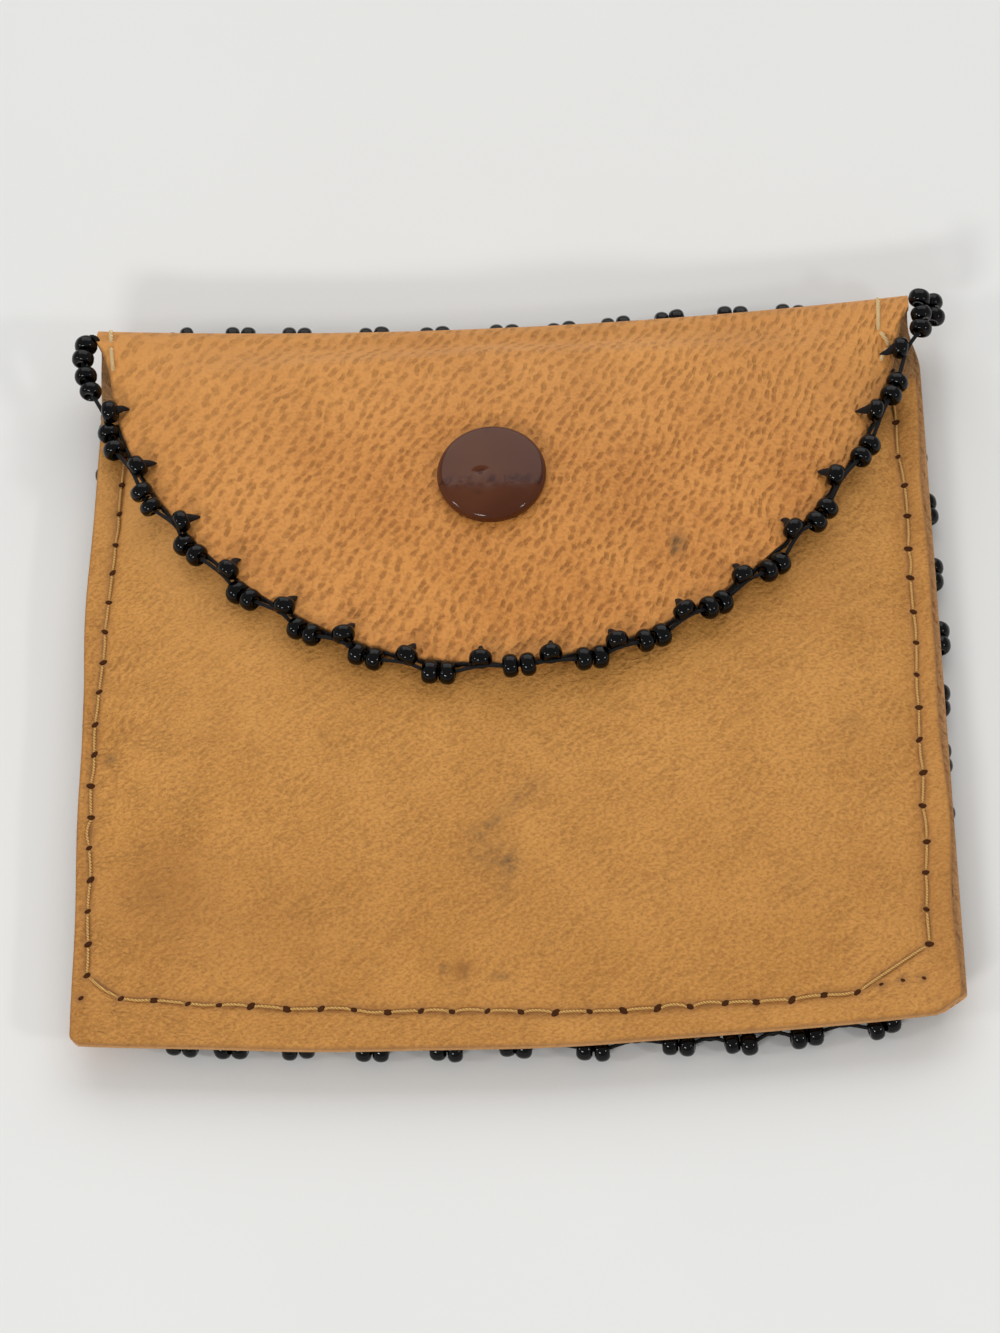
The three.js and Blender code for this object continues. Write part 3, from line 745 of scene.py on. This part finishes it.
def back_leather():
    columns = uneven_steps(-1, 1, 0.0125, 0.005, [-1, 1], 0.03)
    flat_rows = uneven_steps(0, 1, 0.0105, 0.004, [0], 0.02)
    gx, gt = np.meshgrid(columns, flat_rows)
    narrow = smooth((gt - np.where(gx > 0, 0.93, 0.7)) / np.where(gx > 0, 0.07, 0.3))
    half = lerp(BACK_HALF, FOLD_HALF, narrow)
    low = bottom_edge(gx * BACK_HALF)
    y = low + gt * (fold_line(gx * FOLD_HALF) - low)
    x = gx * half
    x = x + left_inset(x, y) * (1 - narrow)
    x = x + BACK_OUTSET * smooth((x - 38) / 9) * (1 - smooth((gt - 0.93) / 0.07))
    y = y + BOTTOM_LIFT * smooth((0.06 - gt) / 0.06)
    edge = np.minimum(BACK_HALF * (1 - np.abs(gx)), y - low)
    z = BACK_TOP + 0 * x
    inner = points_of(x, y, z)
    outer = points_of(x, y, z - LEATHER + rim_round(edge))
    turn, cx = np.meshgrid(np.linspace(0, math.pi / 2, ROLL_ROWS + 1)[1:],
                           columns, indexing="ij")
    inner = np.concatenate([inner, roll(cx * FOLD_HALF, turn, LEATHER)])
    outer = np.concatenate([outer, roll(cx * FOLD_HALF, turn, 0)])
    flat_y = np.concatenate([y, fold_line(cx * FOLD_HALF) + FOLD_RADIUS * turn])
    all_x = np.concatenate([gx, cx]) * BACK_HALF
    rest = points_of(all_x, -flat_y, 0 * all_x + 7)
    obj = leather_sheet("back_leather", PURSE, GRAIN, outer, inner, rest)
    dress(obj, "back_panel")


# How far the flap's curve lies outside the half ellipse: (angle in degrees, shift)
RIM_SHIFT = [
    (191.6, 0.19), (202.9, -0.46), (215.6, -0.9), (226.8, -0.76), (237.3, -0.44),
    (247.0, -0.03), (256.5, 0.29), (266.6, 0.22), (276.3, 0.07), (285.5, -0.05),
    (295.8, -0.36), (305.8, -0.78), (316.4, -1.25), (327.8, -1.45), (341.4, -0.91),
    (353.1, -0.07)]


def rim_frame(x, y):
    """Angle round the flap's half ellipse and the direction out of it."""
    u, v = x / FLAP_HALF, (y - FOLD_Y) / FLAP_DEPTH
    angle = np.degrees(np.arctan2(v, u)) % 360
    angle = np.where(angle < 90, 360, angle)
    nx, ny = u / FLAP_HALF, v / FLAP_DEPTH
    size = np.maximum(np.hypot(nx, ny), 1e-9)
    return angle, nx / size, ny / size, np.hypot(u, v), v


def fit_rim(x, y):
    """Moves the flap's outer part so that its curve is as uneven as a hand-cut one."""
    angle, nx, ny, reach, v = rim_frame(x, y)
    shift = np.interp(angle, *zip(*RIM_SHIFT))
    shift = shift * smooth((reach - 0.7) / 0.3) * smooth(-v / 0.14)
    return x + shift * nx, y + shift * ny


# Painted light: paler towards the left, as lit from the upper left
def left_painted_light(x):
    return 0.10 * smooth((-x - 10) / 30)


def flap_leather():
    share = uneven_steps(0, 1, 0.0105, 0.004, [0, 1], 0.02)
    gs, gt = np.meshgrid(FLAP_COLUMNS, share)
    widen = (FOLD_HALF - FLAP_HALF) * np.maximum(0, 1 - gt * FLAP_DEPTH / FLARE_LENGTH) ** 2
    x = (FLAP_HALF + widen) * gs * np.sqrt(1 - gt * gt / 2)
    sag = (FOLD_Y - fold_line(gs * FOLD_HALF)) * np.maximum(0, 1 - gt / 0.35)
    y = FOLD_Y - sag - FLAP_DEPTH * gt * np.sqrt(1 - gs * gs / 2)
    x, y = fit_rim(x, y)
    low_z = flap_bottom(x, y)
    fade = smooth((snap_distance(x, y) - 8) / 8) * smooth(gt / 0.25)
    low_z = low_z + fade * 0.16 * ripple(x, y, 30, 8)
    edge = np.minimum(FLAP_HALF * (1 - np.abs(gs)), FLAP_DEPTH * (1 - gt))
    worn_down = rim_round(edge) * smooth(gt / 0.04)
    top = points_of(x, y, low_z + LEATHER - worn_down)
    bottom = points_of(x, y, low_z)
    rest = points_of(x, y, 0 * x)
    soil = spots(x, y, FLAP_SOIL_AND_SHADE + FLAP_INK)
    # Painted light: paler towards the fold and towards the left
    faded = FOLD_PAINTED_LIGHT * smooth((y - 20) / 22) + left_painted_light(x)
    worn = 0.8 * np.clip(1 - edge / 0.35, 0, 1) * smooth(gt / 0.04)
    obj = leather_sheet(
        "flap_leather", FLAP, GRAIN, top, bottom, rest, soil=np.clip(soil, 0, 1),
        worn=worn, faded=faded)
    dress(obj, "flap")


def fold_strip():
    """The upper quarter of the rolled fold."""
    turn, cx = np.meshgrid(np.linspace(math.pi / 2, math.pi, 2 * ROLL_ROWS + 1),
                           FLAP_COLUMNS, indexing="ij")
    across = cx * FOLD_HALF
    top, bottom = roll(across, turn, 0), roll(across, turn, LEATHER)
    flat_y = fold_line(across) + FOLD_RADIUS * (math.pi - turn)
    rest = points_of(across, flat_y, 0 * across)
    # Painted light makes the strip paler; it is darker in a band along the crest
    obj = leather_sheet(
        "fold_strip", None, GRAIN, top, bottom, rest,
        soil=spots(across, flat_y, FLAP_SOIL_AND_SHADE[:1]), faded=FOLD_PAINTED_LIGHT + left_painted_light(across))
    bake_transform(obj)


# Beads
def bead_shape(sides, rings):
    """A seed bead about its own Z axis, 1 across and 1 long, with its hole."""
    hole, corner = 0.20, 0.5
    profile = []
    for i in range(rings):
        turn = -math.pi / 2 + math.pi * i / (rings - 1)
        bulge = math.copysign(abs(math.sin(turn)) ** 0.92, math.sin(turn))
        radius = hole + (corner - hole) * abs(math.cos(turn)) ** 0.8
        profile.append((radius, 0.5 * bulge))
    points = []
    for radius, z in profile:
        for k in range(sides):
            turn = 2 * math.pi * k / sides
            points.append((radius * math.cos(turn), radius * math.sin(turn), z))
    return np.array(points), np.array(ring_faces(rings + 1, sides)) % len(points)


FINE_BEAD = bead_shape(20, 11)
ROW_BEAD = bead_shape(10, 6)


def axis_frame(axis):
    """Rotation whose third column is the given axis."""
    axis = np.asarray(axis, float) / np.linalg.norm(axis)
    helper = np.array([0, 0, 1.0]) if abs(axis[2]) < 0.9 else np.array([1.0, 0, 0])
    first = np.cross(helper, axis)
    first /= np.linalg.norm(first)
    return np.stack([first, np.cross(axis, first), axis], -1)


def beads_mesh(beads, shape, size, wobble):
    """One mesh of many beads; each bead is (centre, axis), and size is (width, length)."""
    base, cells = shape
    points, faces = [], []
    for i, (centre, axis) in enumerate(beads):
        axis = np.asarray(axis, float) + rng.normal(0, wobble, 3)
        width = size[0] * (1 + rng.normal(0, 0.02))
        scale = np.array([width, width, size[1] * (1 + rng.normal(0, 0.04))])
        points.append((base * scale) @ axis_frame(axis).T + centre)
        faces.append(cells + i * len(base))
    return np.concatenate(points), np.concatenate(faces)


def curve_through(points, step=0.25):
    """A smooth line through points, for a thread."""
    points = np.asarray(points, float)
    ends = np.concatenate([[2 * points[0] - points[1]], points, [2 * points[-1] - points[-2]]])
    out = []
    for i in range(1, len(ends) - 2):
        a, b, c, d = ends[i - 1:i + 3]
        count = max(2, int(np.linalg.norm(c - b) / step))
        for t in np.linspace(0, 1, count, endpoint=False):
            out.append(0.5 * (2 * b + (c - a) * t + (2 * a - 5 * b + 4 * c - d) * t * t
                              + (3 * b - 3 * c + d - a) * t ** 3))
    out.append(points[-1])
    return np.array(out)


# Beads of the flap's rim from left to right, as (x, y) of the single beads and
# (x, y, z) of the pairs outside them
RIM_SINGLES = [
    (-44.6, 33.7), (-41.1, 25.3), (-35.8, 16.9), (-30.4, 9.8), (-24.1, 4.5), (-17.6, 0.5),
    (-10.7, -2.5), (-2.7, -3.3), (4.9, -3.0), (12.1, -1.7), (19.5, 1.8), (26.0, 6.1),
    (31.8, 12.1), (36.8, 19.4), (41.8, 28.7), (45.1, 37.6)]
RIM_PAIRS = [
    [(-44.9, 31.6, 6.5), (-44.1, 29.2, 6.7)], [(-40.5, 21.7, 9.4), (-39.5, 20.0, 8.9)],
    [(-35.6, 14.6, 9.3), (-34.1, 12.9, 9.8)], [(-29.5, 7.7, 10.1), (-28.0, 6.4, 10.6)],
    [(-22.8, 2.4, 10.8), (-21.1, 1.2, 11.3)], [(-16.2, -1.2, 10.9), (-14.3, -2.0, 11.0)],
    [(-8.3, -3.8, 10.8), (-6.4, -4.0, 10.8)], [(0.5, -4.3, 12.3), (2.4, -4.2, 12.3)],
    [(8.4, -3.4, 11.6), (10.2, -3.0, 11.2)], [(15.1, -1.4, 11.5), (16.9, -0.6, 11.2)],
    [(22.2, 2.3, 11.7), (23.7, 3.3, 11.1)], [(28.8, 7.3, 10.6), (30.2, 8.5, 10.1)],
    [(34.4, 13.7, 10.0), (35.7, 15.4, 10.0)], [(39.8, 22.4, 9.2), (40.9, 24.3, 8.6)],
    [(43.7, 31.2, 8.0), (44.5, 33.0, 7.8)]]
LEFT_CLUSTER = [(-47.7, 43.1, 7.4), (-48.0, 41.3, 7.4), (-47.6, 38.9, 7.4), (-47.0, 36.9, 7.3)]
RIGHT_CLUSTER = [
    (47.6, 40.2, 7.8), (47.8, 42.2, 7.7), (49.3, 43.0, 5.9), (49.2, 44.9, 5.9),
    (47.7, 44.3, 7.8)]


# Thread: how far the tuft by each single bead stands in, its radii, and the radii of the
# strands round the rim
SPIKE_REACH, SPIKE_TIP, SPIKE_FOOT = 2.3, 0.04, 0.6
LOWER_STRAND, UPPER_STRAND = 0.2, 0.16


def flap_edging():
    beads, threads, string = [], [], []
    for i, place in enumerate(LEFT_CLUSTER):
        beads.append((place, (0.2 * (-1) ** i, -1, 0.1)))
        string.append(place)
    threads.append((curve_through([
        (-45.9, 43.0, FOLD_TOP - 0.6), (-46.5, 43.6, FOLD_TOP + 0.2), (-47.3, 43.9, 7.9),
        LEFT_CLUSTER[0]]), THREAD))
    for i, (x, y) in enumerate(RIM_SINGLES):
        _, nx, ny, _, _ = rim_frame(x, y)
        out = np.array([float(nx), float(ny), 0])
        inner = np.array([x, y, 0]) - 0.9 * out
        top = float(flap_bottom(inner[0], inner[1])) + LEATHER
        centre = np.array([x, y, top + EDGE_BEAD - 0.12])
        side = np.array([-out[1], out[0], 0])
        lean = out + 0.22 * side * rng.normal() - [0, 0, 0.16]
        beads.append((centre, lean))
        tip = centre - SPIKE_REACH * out
        tip[2] = float(flap_bottom(tip[0], tip[1])) + LEATHER - 0.12
        aside = side * rng.normal(0, 0.25)
        start = centre - 0.55 * out
        knee = lerp(start, tip, 0.5) + aside + [0, 0, 0.12]
        line = curve_through([start, knee, tip + aside], 0.12)
        taper = np.linspace(1, 0, len(line)) ** 0.8
        threads.append((line, SPIKE_TIP + SPIKE_FOOT * taper))
        string.append(centre + 0.8 * out - [0, 0, 0.2])
        if i < len(RIM_PAIRS):
            first, second = (np.array(place) for place in RIM_PAIRS[i])
            for place in (first, second):
                beads.append((place, second - first))
                string.append(place)
    for i, place in enumerate(RIGHT_CLUSTER):
        beads.append((place, (0.25 * (-1) ** i, 1, 0.1)))
        string.append(place)
    shape = beads_mesh(beads, FINE_BEAD, EDGE_BEAD_SIZE, 0.06)
    dress(make_object("flap_edging_beads", *shape, BEAD, FLAP), "flap_edging")
    threads.append((curve_through(string), THREAD))
    rim = []
    for angle in np.radians(np.linspace(193, 351, 170)):
        x, y = fit_rim(FLAP_HALF * math.cos(angle), FOLD_Y + FLAP_DEPTH * math.sin(angle))
        _, nx, ny, _, _ = rim_frame(x, y)
        z = float(flap_bottom(x, y)) + 0.45 + 0.25 * math.sin(angle * 97)
        rim.append((x + 0.16 * nx, y + 0.16 * ny, z))
    rim = np.array(rim, float)
    threads.append((rim, LOWER_STRAND))
    threads.append((rim[::2] + [0, 0, 0.3], UPPER_STRAND))
    shape = join([tube(path, radius, 6) for path, radius in threads])
    make_object("flap_edging_thread", *shape, BLACK_THREAD, FLAP)


# Middles of the bead pairs round the back, anticlockwise from the bottom left; those at the
# top follow the sagging fold, and those on the left are a guess
BACK_PAIRS = [
    (-35.5, -42.8), (-30.3, -43.3), (-23.2, -43.7), (-15.3, -44.2), (-7.5, -44.5),
    (-0.2, -44.6), (8.0, -45.0), (17.0, -44.9), (23.5, -45.0), (30.5, -44.4), (38.6, -43.5),
    (44.4, -40.6), (45.8, -34.2), (46.0, -27.2), (46.2, -19.6), (46.7, -12.0), (47.0, -4.8),
    (47.3, 3.1), (47.4, 11.3), (47.0, 19.8), (46.5, 27.6), (45.9, 35.4), (43.2, 42.6),
    (38.6, 46.0), (33.2, 47.0), (26.5, 47.1), (19.2, 46.9), (13.0, 46.3), (6.7, 46.0),
    (0.1, 45.9), (-8.0, 46.1), (-15.1, 46.5), (-24.0, 46.9), (-30.6, 47.2), (-37.6, 47.2),
    (-43.4, 42.8), (-45.4, 36.0), *[(-45.6, 28.2 - 7.8 * i) for i in range(8)],
    (-45.4, -34.2), (-42.6, -40.4)]
BACK_BEAD_Z = 1.6


def back_edging():
    middles = np.array(BACK_PAIRS)
    count = len(middles)
    beads, string, threads = [], [], []
    for i in range(count):
        before, here, after = middles[i - 1], middles[i], middles[(i + 1) % count]
        along_rim = (after - before) / np.hypot(*(after - before))
        out = np.array([along_rim[1], -along_rim[0]])
        for half in (-1, 1):
            middle = here + half * PAIR_HALF * along_rim + rng.normal(0, 0.12) * out
            beads.append(((*middle, BACK_BEAD_Z), (*along_rim, 0)))
            string.append((*middle, BACK_BEAD_Z))
        step = (after - here) / np.hypot(*(after - here))
        out = np.array([step[1], -step[0]])
        middle = (here + after) / 2 - (1.35 + rng.normal(0, 0.12)) * out
        out = np.array([*out, 0])
        centre = np.array([*middle, BACK_BEAD_Z - 0.1])
        beads.append((centre, out + [0, 0, 0.1 * rng.normal()]))
        string.append(centre + 0.8 * out)
        threads.append(curve_through([
            centre - 1.9 * out + [0, 0, 0.95], centre - 1.3 * out + [0, 0, 0.5], centre]))
    string.append(string[0])
    points, cells = beads_mesh(beads, FINE_BEAD, EDGE_BEAD_SIZE, 0.06)
    points[:, 2] = np.clip(points[:, 2], 0, BACK_BOTTOM - 0.02)
    obj = make_object("back_edging_beads", points, cells, BEAD, PURSE)
    dress(obj, "back_edging")
    threads.append(curve_through(string, 0.4))
    shape = join([tube(path, THREAD, 6) for path in threads])
    make_object("back_edging_thread", *shape, BLACK_THREAD, PURSE)


def bead_lanes():
    for index in range(1, 8):
        name = f"bead_lane_{index}"
        low, high = box_mm(name)
        rows = round((high[0] - low[0]) / ROW_PITCH)
        beads = []
        for row in range(rows):
            x = low[0] + (row + 0.5) * ROW_PITCH
            skew = 0.25 * math.sin(0.37 * row + index) + rng.normal(0, 0.05)
            for k in range(ROW_BEADS):
                share = (k + 0.5) / ROW_BEADS
                y = low[1] + share * (high[1] - low[1])
                arch = 0.10 * math.cos(math.pi * (share - 0.5)) - 0.02
                centre = (x + skew * (share - 0.5), y, ROW_PITCH / 2 + 0.06 - arch)
                beads.append((centre, (skew * 0.08, 1, 0)))
        points, cells = beads_mesh(beads, ROW_BEAD, ROW_BEAD_SIZE, 0.035)
        points[:, 2] = np.maximum(points[:, 2], 0)
        obj = make_object(f"{name}_beads", points, cells, BEAD, PURSE)
        dress(obj, name)


# Stitches
def stitch(path, radius, sink):
    """A tube whose two ends dip into the leather."""
    path = np.array(path, float)
    path[[0, -1], 2] -= sink
    return tube(path, radius, 8)


def surface(x, y):
    x, y = np.array([x]), np.array([y])
    return float((pocket_top(x, y) - seam_pull(x, y))[0])


def seam_stitches():
    parts = []
    for (ax, ay), (bx, by) in zip(HOLES, HOLES[1:]):
        a, b = np.array([ax, ay]), np.array([bx, by])
        span = np.hypot(*(b - a))
        u = (b - a) / span
        path = []
        bend = rng.normal(0, 0.10)
        for t in np.linspace(0, 1, 15):
            p = lerp(a + 0.3 * u, b - 0.3 * u, t)
            p = p + bend * math.sin(math.pi * t) * np.array([-u[1], u[0]])
            rise = 0.14 * min(1, 5 * min(t, 1 - t)) ** 0.7
            path.append((*p, surface(*p) + rise))
        parts.append(stitch(path, SEAM_THREAD_RADIUS, 0.3))
    obj = make_object("seam_stitches", *join(parts), SEAM_THREAD, PURSE)


# (share of the hole's radius, height over the leather)
HOLE_RINGS = [(1.0, 0.0), (0.9, 0.07), (0.45, 0.09)]


def stitch_holes():
    """Dark plugs of painted shade in the mouths of the needle holes, lying in the dimples of the
    leather.
    """
    parts = []
    sides = 16
    for i, (x, y) in enumerate([*HOLES, *SPARE_HOLES]):
        spare = i >= len(HOLES)
        long, wide = np.array((0.3, 0.2) if spare else (0.46, 0.3)) * rng.uniform(0.75, 1.15)
        turn = rng.uniform(-0.5, 0.9)
        ring = []
        for radius, lift in HOLE_RINGS:
            for k in range(sides):
                a = 2 * math.pi * k / sides
                u, v = long * radius * math.cos(a), wide * radius * math.sin(a)
                px = x + u * math.cos(turn) - v * math.sin(turn)
                py = y + u * math.sin(turn) + v * math.cos(turn)
                ring.append((px, py, surface(px, py) + lift))
        faces = ring_faces(3, sides)
        faces.append(tuple(range(2 * sides, 3 * sides)))
        start = len(ring)
        ring.extend((px, py, pz - 0.3) for px, py, pz in ring[:sides])
        for k in range(sides):
            faces.append((k, start + k, start + (k + 1) % sides, (k + 1) % sides))
        faces.append(tuple(start + k for k in range(sides - 1, -1, -1)))
        parts.append((ring, faces))
    obj = make_object("stitch_holes", *join(parts), HOLE_SHADE, PURSE)


def fold_stitches():
    """Cream stitches at both ends of the fold, from over the roll onto the flap."""
    parts = []
    runs = [
        [(-44.9, FOLD_Y + 2.0), (-44.7, FOLD_Y - 0.2)],
        [(-44.7, FOLD_Y - 0.9), (-44.5, FOLD_Y - 3.6)],
        [(43.0, FOLD_Y + 1.9), (42.8, FOLD_Y - 3.0)],
        [(43.0, FOLD_Y - 3.2), (43.9, FOLD_Y - 4.5)],
        [(43.7, FOLD_Y - 5.0), (42.9, FOLD_Y - 6.4)],
    ]

    def top(x, y):
        line = float(fold_line(x))
        if y > line:
            drop = min(1, (y - line) / FOLD_RADIUS)
            return FOLD_Z + FOLD_RADIUS * math.sqrt(1 - drop * drop)
        return float(flap_bottom(x, y)) + LEATHER

    for a, b in runs:
        path = []
        for t in np.linspace(0, 1, 13):
            x, y = lerp(a[0], b[0], t), lerp(a[1], b[1], t)
            path.append((x, y, top(x, y) + 0.22 * min(1, 5 * min(t, 1 - t)) - 0.08))
        parts.append(stitch(path, FOLD_THREAD_RADIUS, 0.35))
    obj = make_object("fold_stitches", *join(parts), CREAM_THREAD, FLAP)


# Snap
CAP_INSET = 0.3
CAP_SHIFT = (0.1, -0.2, 0)
SPRING_RADIUS, SPRING_GAP = 2.45, 0.35


def metal_piece(name, body, shape, smooth_angle=None):
    obj = make_object(name, *shape, METAL, body, smooth_angle)
    dress(obj, f"snap_{name}")


def snap():
    seat = FLAP_FLAT_Z + LEATHER + SEAT
    post_end = cap_low[2]
    rim = CAP_RADIUS - CAP_INSET
    profile = [(0, post_end), (1.6, post_end), (1.9, post_end + 0.12), (1.2, post_end + 0.3),
               (1.2, seat), (rim - 0.3, seat), (rim - 0.08, seat + 0.1)]
    corner, dome, edge_tilt = 0.85, 33.0, math.radians(80.5)
    flat_radius = rim - corner + corner * math.cos(edge_tilt)
    middle = cap_high[2] - flat_radius ** 2 / (2 * dome) - corner * math.sin(edge_tilt)
    for turn in np.linspace(0, edge_tilt, 12):
        profile.append((rim - corner + corner * math.cos(turn), middle + corner * math.sin(turn)))
    for radius in flat_radius * (1 - np.linspace(0.06, 1, 24)):
        profile.append((max(0, radius), cap_high[2] - radius ** 2 / (2 * dome)))
    points, cells = lathe(profile, 96)
    points = np.array(points)
    dent = spot(points[:, 0], points[:, 1], SNAP[0] - 1.2, SNAP[1] - 0.3, 0.6, 0.36, 0.2)
    dished = spot(points[:, 0], points[:, 1], SNAP[0], SNAP[1], 3.4, 3.4)
    upper = points[:, 2] > seat + 0.6
    points[:, 2] -= upper * (0.22 * dent + 0.06 * dished)
    points += CAP_SHIFT
    cap = make_object("cap", points, cells, CAP_ENAMEL, FLAP, 50)
    # Painted reflection edge in a band below the cap's middle, and painted shade in the dent
    band = np.exp(-((points[:, 1] - SNAP[1] + 1.7) / 0.7) ** 2)
    add_values(cap, "reflection_edge_and_dent_shade", band + 0.8 * dent)
    dress(cap, "snap_cap")

    top, low = socket_high[2], socket_low[2]
    metal_piece("socket", FLAP, lathe([
        (1.5, top), (1.5, top - 0.4), (3.0, top - 0.4), (3.0, low + 0.45), (2.5, low + 0.4),
        (2.4, low + 0.2), (2.5, low + 0.02), (3.0, low), (3.7, low), (4.1, low + 0.15),
        (4.35, low + 0.5), (4.4, low + 0.9), (4.4, top), (1.5, top)]), 40)

    turn = np.linspace(SPRING_GAP, 2 * math.pi - SPRING_GAP, 60)
    spring_z = (spring_low[2] + spring_high[2]) / 2
    path = points_of(SNAP[0] + SPRING_RADIUS * np.cos(turn),
                     SNAP[1] + SPRING_RADIUS * np.sin(turn), 0 * turn + spring_z)
    metal_piece("spring", FLAP, tube(path, 0.22, 10))

    low, top = stud_low[2], stud_high[2]
    metal_piece("stud", PURSE, lathe([
        (0.95, low), (4.4, low), (4.5, low + 0.1), (4.4, low + 0.25), (3.9, low + 0.4),
        (1.9, low + 0.4), (1.45, low + 0.5), (1.3, low + 0.65), (1.4, low + 0.8),
        (1.5, top - 0.2), (1.4, top - 0.06), (1.1, top), (0, top), (0, top - 0.2),
        (0.95, top - 0.2), (0.95, low)]), 40)

    low, top = eyelet_low[2], eyelet_high[2]
    metal_piece("eyelet", PURSE, lathe([
        (0.55, low), (4.3, low), (4.5, low + 0.15), (4.4, low + 0.4), (0.85, low + 0.4),
        (0.85, top), (0.55, top), (0.55, low)]), 40)


# Stage, light and camera
FLOOR_SIZE, FLOOR_Z = 6, -0.0002
WORLD_STRENGTH = 0.40
# (name, place and size in metres, power in watts); each faces the purse
SOFTBOXES = [
    ("key", (-0.35, -0.80, 0.50), (0.26, 0.08), 2.7),
    ("left", (-0.85, -0.28, 0.48), (0.16, 0.07), 1.2),
    ("side", (0.70, -0.46, 0.50), (0.14, 0.06), 1.2),
    ("top", (0.08, 1.04, 0.90), (1.80, 1.15), 9.6)]


def softbox(name, place, size, power):
    data = bpy.data.lights.new(name, "AREA")
    data.shape = "RECTANGLE"
    data.size, data.size_y = size
    data.energy = power
    lamp = bpy.data.objects.new(name, data)
    bpy.context.scene.collection.objects.link(lamp)
    lamp.location = place
    lamp.rotation_mode = "QUATERNION"
    lamp.rotation_quaternion = (-Vector(place)).to_track_quat("-Z", "Y")


def stage():
    shader = Shader("floor", roughness=0.9, Specular_IOR_Level=0.1)
    cloud = shader.noise(shader.place(), 30.0)
    shader.colour(shader.mix(cloud, rgb(240, 240, 238), rgb(244, 244, 242)))
    bpy.ops.mesh.primitive_plane_add(size=FLOOR_SIZE, location=(0, 0, FLOOR_Z))
    floor = bpy.context.object
    floor.name = "floor"
    floor.data.materials.append(shader.material)

    world = bpy.data.worlds.new("studio")
    bpy.context.scene.world = world
    world.use_nodes = True
    background = world.node_tree.nodes["Background"]
    background.inputs[0].default_value = (1.0, 0.995, 0.985, 1)
    background.inputs[1].default_value = WORLD_STRENGTH

    for lamp in SOFTBOXES:
        softbox(*lamp)


# The photo's camera: angles and distance found from the purse's corners
CAMERA_ELEVATION = 60.0
CAMERA_AZIMUTH = 4.672
CAMERA_ROLL = -6.41
CAMERA_DISTANCE = 490.975
CAMERA_TARGET = (-1.2, 2.736, 0.0)
FOCAL_PIXELS = 4418.0
PHOTO_HEIGHT = 1333
SENSOR = 36.0


def camera():
    a, e, r = (math.radians(v) for v in (CAMERA_AZIMUTH, CAMERA_ELEVATION, CAMERA_ROLL))
    back = Vector((math.sin(a) * math.cos(e), -math.cos(a) * math.cos(e), math.sin(e)))
    right = Vector((math.cos(a), math.sin(a), 0))
    up = back.cross(right)
    image_right = right * math.cos(r) + up * math.sin(r)
    image_up = up * math.cos(r) - right * math.sin(r)
    data = bpy.data.cameras.new("photo_camera")
    data.sensor_width = SENSOR
    data.lens = FOCAL_PIXELS * SENSOR / PHOTO_HEIGHT
    data.clip_start, data.clip_end = 0.05, 20
    obj = bpy.data.objects.new("photo_camera", data)
    bpy.context.scene.collection.objects.link(obj)
    turn = Matrix((image_right, image_up, back)).transposed()
    place = (Vector(CAMERA_TARGET) + back * CAMERA_DISTANCE) * MM
    obj.matrix_world = Matrix.Translation(place) @ turn.to_4x4()
    bpy.context.scene.camera = obj


camera()
stage()
back_leather()
front_pocket()
fold_strip()
flap_leather()
bead_lanes()
back_edging()
flap_edging()
seam_stitches()
stitch_holes()
fold_stitches()
snap()
patch_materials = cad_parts["back_patch"].data.materials
patch_materials.clear()
patch_materials.append(FELT)
bpy.context.scene.view_settings.view_transform = "Standard"
